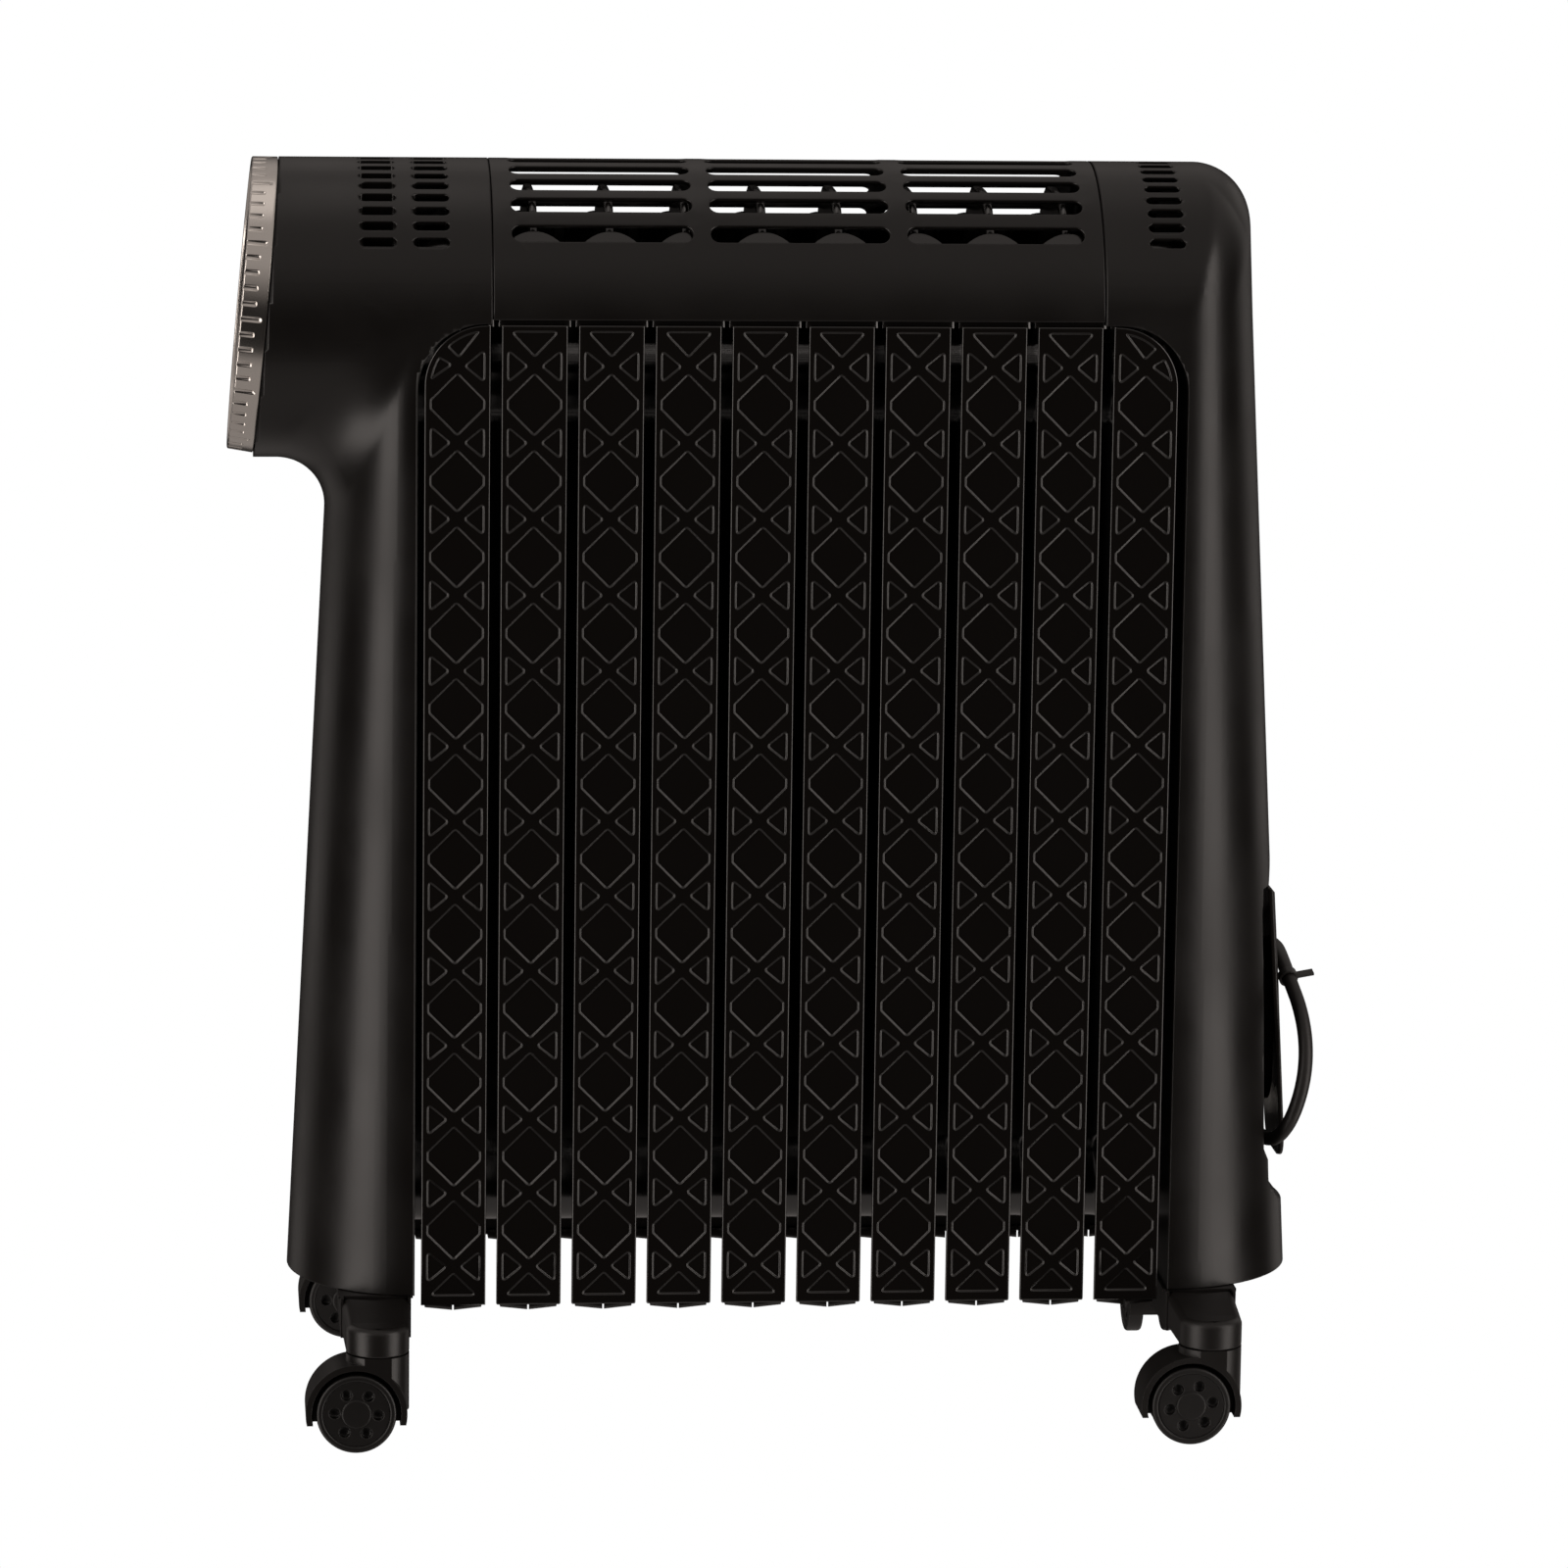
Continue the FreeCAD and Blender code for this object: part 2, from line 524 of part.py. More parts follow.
def cord_winder():
    """An oblong core with a leaning retaining plate, fixed to the pocket floor."""
    gauge = size("winder_plate_gauge")
    outer = [V(x, 0, z) for x, z in PLATE_OUTLINE]
    inner = [V(x - gauge, 0, z) for x, z in reversed(PLATE_OUTLINE)]
    profile = Part.Face(Part.makePolygon(outer + inner + outer[:1]))
    half = size("winder_plate_half_depth")
    plate = profile.extrude(V(0, 2 * half, 0))
    plate.translate(V(0, -half, 0))
    depth = size("coil_inner_depth") - 0.5
    straight = size("coil_inner_height") - size("coil_inner_depth")
    floor_x = size("pocket_floor_x")
    core = racetrack(depth, straight, floor_x, 266.4)
    return plate.fuse(core).removeSplitter()


def racetrack(radius, straight, low_x, high_x):
    """An upright oblong with round ends, extruded along X."""
    mid = size("coil_mid_z")
    solid = Part.makeBox(high_x - low_x, 2 * radius, 2 * straight, V(low_x, -radius, mid - straight))
    ends = [Part.makeCylinder(radius, high_x - low_x, V(low_x, 0, mid + way * straight), V(1, 0, 0))
            for way in (-1, 1)]
    return solid.fuse(ends).removeSplitter()


def cord_coil():
    """The wound cord: its outer shape round the winder's core."""
    straight = size("coil_half_height") - size("coil_half_depth")
    low_x, high_x = size("coil_back_x"), size("coil_front_x")
    outer = racetrack(size("coil_half_depth"), straight, low_x, high_x)
    inner = racetrack(size("coil_inner_depth"), straight, low_x - 1, high_x + 1)
    return outer.cut(inner)


def route_tube(name, points):
    """A tube along straight runs joined by tangent arcs; prints the arcs' radii."""
    points = [V(*point) for point in points]
    runs = [(points[i + 1] - points[i]).Length for i in range(len(points) - 1)]
    edges, radii = [], []
    start = points[0]
    for i in range(1, len(points) - 1):
        before = (points[i] - points[i - 1]).normalize()
        after = (points[i + 1] - points[i]).normalize()
        turn = before.getAngle(after)
        reach = 0.45 * min(runs[i - 1], runs[i])
        radius = reach / math.tan(turn / 2)
        radii.append(round(radius / size("cord_diameter"), 1))
        leave, join = points[i] - before * reach, points[i] + after * reach
        inward = (after - before).normalize()
        middle = points[i] + inward * (radius / math.cos(turn / 2) - radius)
        edges.append(Part.LineSegment(start, leave).toShape())
        edges.append(Part.Arc(leave, middle, join).toShape())
        start = join
    edges.append(Part.LineSegment(start, points[-1]).toShape())
    wire = Part.Wire(edges)
    first = (points[1] - points[0]).normalize()
    section = Part.Wire(Part.makeCircle(size("cord_diameter") / 2, points[0], first))
    solid = wire.makePipeShell([section], True, False)
    wanted = math.pi * (size("cord_diameter") / 2) ** 2 * wire.Length
    print(name, "length %.1f mm, volume %.4f of section x length" % (wire.Length, solid.Volume / wanted),
          "radii in diameters", radii)
    return solid


# Both routes are lists of points chosen by hand; the coil between them holds the rest of the cord.
LEAD_ROUTE = [(244.5, -34.2, 134), (244.5, -34.2, 143), (244.2, -34, 158)]
TAIL_ROUTE = [(257.5, 24, 142), (258, 10, 138), (260, -6, 135.5), (263, -21, 134.5),
              (267.5, -34, 138), (272.5, -41.5, 148), (277, -43.5, 162), (280, -41, 177),
              (280.5, -35, 192), (278.5, -26, 206), (275, -14, 217), (273.5, 1, 224.5),
              (273, 18, 228.5), (271.5, 35, 228), (268, 51, 223), (263, 65, 213),
              (259.5, 75, 199), (258, 79, 184)]

feature("cord_winder", cord_winder())
feature("mains_cord_coil", cord_coil())


def clear_of(shape, *labels):
    """A tube's end trimmed to meet the piece that it enters face to face."""
    for other in NODES:
        if other.Label in labels:
            shape = shape.cut(other.Shape)
    return max(shape.Solids, key=lambda solid: solid.Volume)


feature("mains_cord_lead", clear_of(route_tube("lead", LEAD_ROUTE), "mains_cord_coil"))
feature("mains_cord_tail", clear_of(route_tube("tail", TAIL_ROUTE), "mains_cord_coil"))

relief = doc.addObject("Part::Cone", "Cone")
bind(relief, ("relief_x", "relief_y", "pocket_low_z"), Radius1="6.4",
     Radius2="cord_diameter / 2 + 0.7", Height="relief_length")
keep(relief, "strain_relief")

# Plug body hanging with its two round pins downwards.
plug_neck = doc.addObject("Part::Cone", "Cone")
bind(plug_neck, ("plug_x", "plug_y", "plug_top_z - 16"), Radius1="11", Radius2="5.2", Height="16")
plug_body = rod("18.5", "22", ("plug_x", "plug_y", "plug_top_z - 38"))
pins = [rod("pin_radius", "pin_length",
            ("plug_x", "plug_y + %s" % offset, "plug_top_z - 38 - pin_length"))
        for offset in ("pin_spacing / 2", "-pin_spacing / 2")]
keep(fuse(plug_neck, plug_body, *pins), "mains_plug")

# A flat tie round the cord where it crosses the winder's plate.
tie_ring = Part.makeCylinder(size("cord_diameter") / 2 + 1.3, 4).cut(
    Part.makeCylinder(size("cord_diameter") / 2 + 0.1, 4))
tie_tail = Part.makeBox(9, 1.4, 4, V(size("cord_diameter") / 2 + 0.9, -0.7, 0))
tie_solid = tie_ring.fuse(tie_tail)
tie_solid.Placement = FreeCAD.Placement(V(274.6, -12.5, 217.9),
                                        FreeCAD.Rotation(V(0, 0, 1), V(-2.6, 15, 7.5)))
feature("cord_tie", tie_solid)

# ---------------------------------------------------------------- check and write
doc.recompute()
for obj in doc.Objects:
    if "Invalid" in obj.State or "Error" in obj.State:
        raise RuntimeError("%s (%s) did not build: %s" % (obj.Name, obj.Label, obj.State))
os.makedirs("parts", exist_ok=True)
labels = [obj.Label for obj in NODES]
if len(set(labels)) != len(labels) or len(labels) > 60:
    raise RuntimeError("node names clash or there are too many: %d" % len(labels))
for obj in NODES:
    if obj.Shape.isNull() or not obj.Shape.isValid():
        raise RuntimeError("%s has no valid shape" % obj.Label)
    obj.Shape.exportStep("parts/%s.step" % obj.Label)
    print("%-28s solids %d volume %.0f" % (obj.Label, len(obj.Shape.Solids), obj.Shape.Volume))
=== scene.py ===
"""Looks of the oil filled radiator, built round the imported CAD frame. Lengths in the code are in
millimetres unless a name says otherwise; MM turns them into Blender's metres."""

import json
import math

import bmesh
import bpy
import numpy as np
from mathutils import Matrix, Vector
from mathutils.geometry import delaunay_2d_cdt


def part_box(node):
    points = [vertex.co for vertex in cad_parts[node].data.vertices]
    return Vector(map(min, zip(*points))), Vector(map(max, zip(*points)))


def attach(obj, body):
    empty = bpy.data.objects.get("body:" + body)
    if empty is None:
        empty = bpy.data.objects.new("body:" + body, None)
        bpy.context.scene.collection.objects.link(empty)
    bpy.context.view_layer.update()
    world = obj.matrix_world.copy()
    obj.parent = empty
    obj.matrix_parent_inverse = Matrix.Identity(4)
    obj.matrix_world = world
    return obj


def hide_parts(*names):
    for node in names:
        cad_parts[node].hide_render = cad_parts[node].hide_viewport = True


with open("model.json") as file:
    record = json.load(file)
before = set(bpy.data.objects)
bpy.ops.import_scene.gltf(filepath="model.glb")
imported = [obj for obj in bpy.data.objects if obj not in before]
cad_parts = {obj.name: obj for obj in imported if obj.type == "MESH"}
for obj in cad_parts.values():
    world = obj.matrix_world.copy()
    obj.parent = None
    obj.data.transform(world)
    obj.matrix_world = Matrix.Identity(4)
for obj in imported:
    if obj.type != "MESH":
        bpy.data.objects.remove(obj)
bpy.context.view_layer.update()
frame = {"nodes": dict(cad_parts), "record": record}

MM = 0.001
BODY = "frame"
SCENE = bpy.context.scene
SCENE.view_settings.view_transform = "Standard"


# ------------------------------------------------------------------ camera, light and floor
CAMERA_PLACE = (-0.29166, -3.45356, 0.94149)
CAMERA_YAW, CAMERA_PITCH, CAMERA_ROLL = (math.radians(angle) for angle in (5.0, 10.176, 0.773))
CAMERA_LENS = 156.57


def add_camera():
    """The camera stands far off and looks slightly down, turned a little to the right."""
    forward = Vector((math.sin(CAMERA_YAW) * math.cos(CAMERA_PITCH),
                      math.cos(CAMERA_YAW) * math.cos(CAMERA_PITCH), -math.sin(CAMERA_PITCH)))
    level_right = Vector((math.cos(CAMERA_YAW), -math.sin(CAMERA_YAW), 0))
    level_up = level_right.cross(forward)
    right = math.cos(CAMERA_ROLL) * level_right + math.sin(CAMERA_ROLL) * level_up
    up = math.cos(CAMERA_ROLL) * level_up - math.sin(CAMERA_ROLL) * level_right
    data = bpy.data.cameras.new("camera")
    data.sensor_width = 36
    data.lens = CAMERA_LENS
    data.clip_end = 100
    camera = bpy.data.objects.new("camera", data)
    turn = Matrix((right, up, -forward)).transposed().to_4x4()
    camera.matrix_world = Matrix.Translation(CAMERA_PLACE) @ turn
    SCENE.collection.objects.link(camera)
    SCENE.camera = camera


def softbox(name, place, target, width, height, power, tint=(1.0, 0.92, 0.87)):
    """An area light that faces a point."""
    data = bpy.data.lights.new(name, "AREA")
    data.shape = "RECTANGLE"
    data.size = width
    data.size_y = height
    data.energy = power
    data.color = tint
    light = bpy.data.objects.new(name, data)
    aim = Vector(target) - Vector(place)
    light.matrix_world = Matrix.Translation(place) @ aim.to_track_quat("-Z", "Y").to_matrix().to_4x4()
    light.visible_camera = False
    SCENE.collection.objects.link(light)


def add_lights():
    """Tall strip boxes to the left and right of the front, their weaker twins behind, one overhead."""
    softbox("softbox_left", (-2.6, -1.5, 0.1), (-0.1, 0, 0.3), 1.8, 5.0, 62)
    softbox("softbox_right", (2.6, -1.6, 0.1), (0.1, 0, 0.3), 1.8, 5.0, 58)
    softbox("softbox_back_left", (-1.9, 1.9, 0.3), (-0.1, 0, 0.3), 1.2, 3.0, 3)
    softbox("softbox_back_right", (2.0, 1.9, 0.3), (0.1, 0, 0.3), 1.2, 3.0, 3)
    softbox("softbox_top", (-0.3, 0.2, 2.8), (0, 0, 0.5), 1.6, 0.8, 1.5)


def ramp(nodes, links, source, low, high, low_value, high_value):
    """Map a texture's output onto a range of numbers."""
    node = nodes.new("ShaderNodeMapRange")
    node.inputs["From Min"].default_value = low
    node.inputs["From Max"].default_value = high
    node.inputs["To Min"].default_value = low_value
    node.inputs["To Max"].default_value = high_value
    links.new(source, node.inputs["Value"])
    return node.outputs[0]


def add_floor_and_world():
    """A pale floor and a pale surround; both light the heater only faintly."""
    size = 30
    mesh = bpy.data.meshes.new("floor")
    mesh.from_pydata([(-size, -size, 0), (size, -size, 0), (size, size, 0), (-size, size, 0)], [],
                     [(0, 1, 2, 3)])
    floor = bpy.data.objects.new("floor", mesh)
    SCENE.collection.objects.link(floor)
    material = bpy.data.materials.new("floor_paper")
    material.use_nodes = True
    nodes, links = material.node_tree.nodes, material.node_tree.links
    nodes.clear()
    glow = nodes.new("ShaderNodeEmission")
    glow.inputs["Color"].default_value = (1, 1, 1, 1)
    glow.inputs["Strength"].default_value = 1.0
    matte = nodes.new("ShaderNodeBsdfDiffuse")
    matte.inputs["Color"].default_value = (0.5, 0.5, 0.5, 1)
    rays = nodes.new("ShaderNodeLightPath")
    mix = nodes.new("ShaderNodeMixShader")
    output = nodes.new("ShaderNodeOutputMaterial")
    links.new(rays.outputs["Is Camera Ray"], mix.inputs["Fac"])
    links.new(matte.outputs[0], mix.inputs[1])
    links.new(glow.outputs[0], mix.inputs[2])
    links.new(mix.outputs[0], output.inputs["Surface"])
    mesh.materials.append(material)
    floor.visible_glossy = False
    floor.visible_diffuse = False
    floor.visible_shadow = False
    world = bpy.data.worlds.new("surround")
    world.use_nodes = True
    SCENE.world = world
    nodes, links = world.node_tree.nodes, world.node_tree.links
    sky = nodes["Background"]
    rays = nodes.new("ShaderNodeLightPath")
    tint = nodes.new("ShaderNodeMix")
    tint.data_type = "RGBA"
    tint.inputs["A"].default_value = (1, 0.91, 0.86, 1)
    tint.inputs["B"].default_value = (1, 1, 1, 1)
    links.new(rays.outputs["Is Camera Ray"], tint.inputs["Factor"])
    links.new(tint.outputs["Result"], sky.inputs["Color"])
    place = nodes.new("ShaderNodeTexCoord")
    split = nodes.new("ShaderNodeSeparateXYZ")
    links.new(place.outputs["Generated"], split.inputs[0])
    above = ramp(nodes, links, split.outputs["Z"], 0.1, 0.6, 0.012, 0.36)
    below = ramp(nodes, links, split.outputs["Z"], -0.62, -0.5, 0.28, 0.0)
    glow = nodes.new("ShaderNodeMath")
    links.new(above, glow.inputs[0])
    links.new(below, glow.inputs[1])
    seen = nodes.new("ShaderNodeMix")
    links.new(rays.outputs["Is Camera Ray"], seen.inputs["Factor"])
    links.new(glow.outputs[0], seen.inputs["A"])
    seen.inputs["B"].default_value = 1.0
    links.new(seen.outputs["Result"], sky.inputs["Strength"])


add_camera()
add_lights()
add_floor_and_world()


# ------------------------------------------------------------------ materials
def moulded(name, color, roughness=0.42, grain=1800.0, grain_depth=0.00006, drift=0.06,
            metallic=0.0, specular=0.5, edge=0.0004, stretch=(1, 1, 1)):
    """A moulded or painted finish: fine grain in the bump, slow drift in colour and roughness."""
    material = bpy.data.materials.new(name)
    material.use_nodes = True
    nodes, links = material.node_tree.nodes, material.node_tree.links
    shader = nodes["Principled BSDF"]
    shader.inputs["Metallic"].default_value = metallic
    shader.inputs["Specular IOR Level"].default_value = specular
    place = nodes.new("ShaderNodeTexCoord")
    scale = nodes.new("ShaderNodeMapping")
    scale.inputs["Scale"].default_value = stretch
    links.new(place.outputs["Object"], scale.inputs["Vector"])
    fine = nodes.new("ShaderNodeTexNoise")
    fine.inputs["Scale"].default_value = grain
    fine.inputs["Detail"].default_value = 3
    links.new(scale.outputs[0], fine.inputs["Vector"])
    slow = nodes.new("ShaderNodeTexNoise")
    slow.inputs["Scale"].default_value = 14
    slow.inputs["Detail"].default_value = 4
    links.new(scale.outputs[0], slow.inputs["Vector"])
    mix = nodes.new("ShaderNodeMix")
    mix.data_type = "RGBA"
    mix.inputs["A"].default_value = tuple(channel * (1 - drift * 2) for channel in color) + (1,)
    mix.inputs["B"].default_value = tuple(channel * (1 + drift * 2) for channel in color) + (1,)
    links.new(slow.outputs["Fac"], mix.inputs["Factor"])
    links.new(mix.outputs["Result"], shader.inputs["Base Color"])
    rough = ramp(nodes, links, slow.outputs["Fac"], 0.3, 0.7, roughness - drift, roughness + drift)
    links.new(rough, shader.inputs["Roughness"])
    bump = nodes.new("ShaderNodeBump")
    bump.inputs["Distance"].default_value = grain_depth
    bump.inputs["Strength"].default_value = 0.6
    links.new(fine.outputs["Fac"], bump.inputs["Height"])
    if edge:
        soft_edge = nodes.new("ShaderNodeBevel")
        soft_edge.samples = 4
        soft_edge.inputs["Radius"].default_value = edge
        links.new(soft_edge.outputs[0], bump.inputs["Normal"])
    links.new(bump.outputs[0], shader.inputs["Normal"])
    return material


WARM_BLACK = (0.0042, 0.0034, 0.0029)
MATERIALS = {
    "housing_plastic": moulded("housing_plastic", WARM_BLACK, 0.34),
    "fin_paint": moulded("fin_paint", WARM_BLACK, 0.17, grain=900, grain_depth=0.00002,
                         drift=0.015, specular=1.0, edge=0),
    "caster_plastic": moulded("caster_plastic", (0.006, 0.005, 0.0044), 0.4),
    "wheel_plastic": moulded("wheel_plastic", (0.006, 0.0054, 0.005), 0.44),
    "zinc_steel": moulded("zinc_steel", (0.45, 0.44, 0.42), 0.32, metallic=1.0, grain=600),
    "bracket_paint": moulded("bracket_paint", (0.008, 0.007, 0.0065), 0.34),
    "ring_metal": moulded("ring_metal", (0.72, 0.68, 0.64), 0.2, grain=2500, grain_depth=0.00003,
                          drift=0.03, metallic=1.0, edge=0.0003),
    "display_gloss": moulded("display_gloss", (0.004, 0.004, 0.0045), 0.06, grain=300,
                             grain_depth=0.000005, drift=0.015, edge=0.0003),
    "button_gloss": moulded("button_gloss", (0.01, 0.01, 0.0105), 0.16, grain=400,
                            grain_depth=0.00001, drift=0.03),
    "board": moulded("board", (0.02, 0.09, 0.04), 0.4, grain=400),
    "electric_plastic": moulded("electric_plastic", (0.05, 0.05, 0.05), 0.5),
    "winder_plastic": moulded("winder_plastic", (0.011, 0.0095, 0.0085), 0.25, grain=900),
    "cord_rubber": moulded("cord_rubber", (0.012, 0.0105, 0.0095), 0.45, grain=1500, edge=0),
    "tie_plastic": moulded("tie_plastic", (0.012, 0.011, 0.010), 0.35, grain=900),
}


def dress_cad_nodes():
    """Give every carried-over CAD node the finish of its slot."""
    for part in frame["record"]["subparts"]:
        node = frame["nodes"][part["node"]]
        node.data.materials.clear()
        node.data.materials.append(MATERIALS[part["material_slot"]])


dress_cad_nodes()


# ------------------------------------------------------------------ mesh helpers
def new_piece(name, verts, faces, slot, body=BODY, node=None, smooth=True, scale=MM):
    """Make a mesh object from points in millimetres, dress it and hang it on its body."""
    mesh = bpy.data.meshes.new(name)
    mesh.from_pydata([tuple(c * scale for c in v) for v in verts], [], [tuple(f) for f in faces])
    mesh.validate()
    mesh.update()
    if smooth:
        mesh.shade_smooth()
    obj = bpy.data.objects.new(name, mesh)
    SCENE.collection.objects.link(obj)
    return finish_piece(obj, slot, body, node)


def finish_piece(obj, slot, body=BODY, node=None):
    """Dress a piece, hang it on its body and hide the CAD nodes that it replaces."""
    obj.data.materials.clear()
    obj.data.materials.append(MATERIALS[slot])
    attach(obj, body)
    if node:
        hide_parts(*([node] if isinstance(node, str) else node))
    return obj


def weigh_normals(obj):
    """Large flat faces keep flat shading while the small ones at their edges stay smooth."""
    modifier = obj.modifiers.new("weighted", "WEIGHTED_NORMAL")
    modifier.mode = "FACE_AREA"
    modifier.weight = 50


class Builder:
    """Collects the points and faces of one mesh."""

    def __init__(self):
        self.verts = []
        self.faces = []

    def add(self, verts, faces):
        start = len(self.verts)
        self.verts += list(verts)
        self.faces += [tuple(start + i for i in face) for face in faces]

    def strip(self, rows, closed_rows=True, closed_rings=False, flip=False):
        """Quads between rows of equal length."""
        start = len(self.verts)
        count = len(rows[0])
        for row in rows:
            self.verts += list(row)
        ring_total = len(rows) if closed_rings else len(rows) - 1
        for ring in range(ring_total):
            low, high = start + ring * count, start + ((ring + 1) % len(rows)) * count
            for i in range(count if closed_rows else count - 1):
                j = (i + 1) % count
                face = (low + i, low + j, high + j, high + i)
                self.faces.append(face[::-1] if flip else face)


def rounded(corners, radius, steps=4):
    """A closed outline with its corners rounded; a corner may carry its own radius."""
    outline = []
    count = len(corners)
    for i, corner in enumerate(corners):
        before, here, after = (Vector(corners[j % count][:2]) for j in (i - 1, i, i + 1))
        own = corner[2] if len(corner) > 2 else radius
        if own == 0:
            outline.append(tuple(here))
            continue
        into, out = (before - here).normalized(), (after - here).normalized()
        half = into.angle(out) / 2
        reach = min(own / math.tan(half), 0.48 * (before - here).length, 0.48 * (after - here).length)
        start, end = here + into * reach, here + out * reach
        for step in range(steps + 1):
            share = step / steps
            mid = start.lerp(here, share).lerp(here.lerp(end, share), share)
            outline.append(tuple(mid))
    return outline


def inset(loop, distance):
    """An outline moved inwards (counter-clockwise outlines) by a distance."""
    count = len(loop)
    moved = []
    for i in range(count):
        before, here, after = Vector(loop[i - 1]), Vector(loop[i]), Vector(loop[(i + 1) % count])
        first, second = here - before, after - here
        if first.length < 1e-9 or second.length < 1e-9:
            moved.append(tuple(here))
            continue
        normal_a = Vector((-first.y, first.x)).normalized()
        normal_b = Vector((-second.y, second.x)).normalized()
        normal = (normal_a + normal_b).normalized()
        stretch = 1 / max(0.5, normal.dot(normal_a))
        moved.append(tuple(here + normal * distance * stretch))
    return moved


def turn_ccw(loop):
    """The outline in counter-clockwise order."""
    area = sum(loop[i - 1][0] * loop[i][1] - loop[i][0] * loop[i - 1][1] for i in range(len(loop)))
    return loop if area > 0 else loop[::-1]


def plate(outline, holes, edge, hole_edge, place, spacing=None, floor=False, back=None):
    """A plate with shaped edges.

    outline and holes are outlines in the plate's plane; edge and hole_edge are lists of
    (inset, depth) steps; place turns (u, v, depth) into a point. Holes get a floor when floor
    is set. spacing adds inner points so that the face can follow a curve. back closes the
    plate's other side at that depth.
    """
    builder = Builder()
    outline = turn_ccw(outline)
    holes = [turn_ccw(hole) for hole in holes]
    tops = [inset(outline, edge[0][0])] + [inset(hole, -hole_edge[0][0]) for hole in holes]
    fill(builder, tops, edge[0][1], place, spacing)
    rows = [[place(u, v, depth) for u, v in inset(outline, step)] for step, depth in edge]
    builder.strip(rows, flip=True)
    for hole in holes:
        rows = [[place(u, v, depth) for u, v in inset(hole, -step)] for step, depth in hole_edge]
        builder.strip(rows)
        if floor:
            last_step, last_depth = hole_edge[-1]
            fill(builder, [inset(hole, -last_step)], last_depth, place, spacing)
    if back is not None:
        loops = [inset(outline, edge[-1][0])]
        if not floor:
            loops += [inset(hole, -hole_edge[-1][0]) for hole in holes]
        fill(builder, loops, back, place, spacing, flip=True)
    return builder


def inside_loop(point, loop):
    """Whether a point lies inside an outline."""
    x, y = point
    hit = False
    for i in range(len(loop)):
        (x1, y1), (x2, y2) = loop[i - 1], loop[i]
        if (y1 > y) != (y2 > y) and x < (x2 - x1) * (y - y1) / (y2 - y1) + x1:
            hit = not hit
    return hit


def fill(builder, loops, depth, place, spacing=None, flip=False):
    """Triangulate the area inside the first loop and outside the others."""
    points, edges = [], []
    for loop in loops:
        start = len(points)
        points += [Vector(p) for p in loop]
        edges += [(start + i, start + (i + 1) % len(loop)) for i in range(len(loop))]
    if spacing:
        us, vs = [p[0] for p in loops[0]], [p[1] for p in loops[0]]
        step_u, step_v = spacing
        for i in range(1, int((max(us) - min(us)) / step_u) + 1):
            for j in range(1, int((max(vs) - min(vs)) / step_v) + 1):
                spot = (min(us) + i * step_u, min(vs) + j * step_v)
                if inside_loop(spot, loops[0]) and not any(inside_loop(spot, l) for l in loops[1:]):
                    points.append(Vector(spot))
    verts, _, faces, _, _, _ = delaunay_2d_cdt(points, edges, [], 0, 1e-6)
    kept = []
    for face in faces:
        middle = sum((verts[i] for i in face), Vector((0, 0))) / len(face)
        if inside_loop(middle, loops[0]) and not any(inside_loop(middle, l) for l in loops[1:]):
            kept.append(face[::-1] if flip else face)
    builder.add([place(v.x, v.y, depth) for v in verts], kept)


def merge(obj, distance=0.00001):
    """Weld the seams between a mesh's strips and faces."""
    mesh = bmesh.new()
    mesh.from_mesh(obj.data)
    bmesh.ops.remove_doubles(mesh, verts=mesh.verts, dist=distance)
    bmesh.ops.recalc_face_normals(mesh, faces=mesh.faces)
    mesh.to_mesh(obj.data)
    mesh.free()
    obj.data.shade_smooth()


def lathe(profile, steps, place):
    """Rows of points round an axis; place turns (radius, along, angle) into a point."""
    return [[place(radius, along, 2 * math.pi * i / steps) for i in range(steps)]
            for radius, along in profile]


def circle(mid_u, mid_v, radius, steps=48):
    """An outline of points round a circle."""
    return [(mid_u + radius * math.cos(2 * math.pi * i / steps),
             mid_v + radius * math.sin(2 * math.pi * i / steps)) for i in range(steps)]


# ------------------------------------------------------------------ fins
FLAP_WIDTH = 32.9
FLAP_FACE = 75.15
FLAP_LOW, FLAP_HIGH = 62.8, 565.0
CROSS_TOP, CROSS_PITCH, CROSS_COUNT = 544.4, 38.45, 13
CELL_HALF_WIDTH = 13.45
EDGE_ROUND = [(1.1, 0.0), (0.62, -0.05), (0.3, -0.17), (0.08, -0.42), (0.0, -0.8), (0.0, -1.2),
              (0.5, -1.5)]
CELL_EDGE = [(0.42, 0.0), (0.22, -0.05), (0.05, -0.2), (-0.12, -0.48), (-0.3, -0.72),
             (-0.5, -0.86), (-0.75, -0.9)]


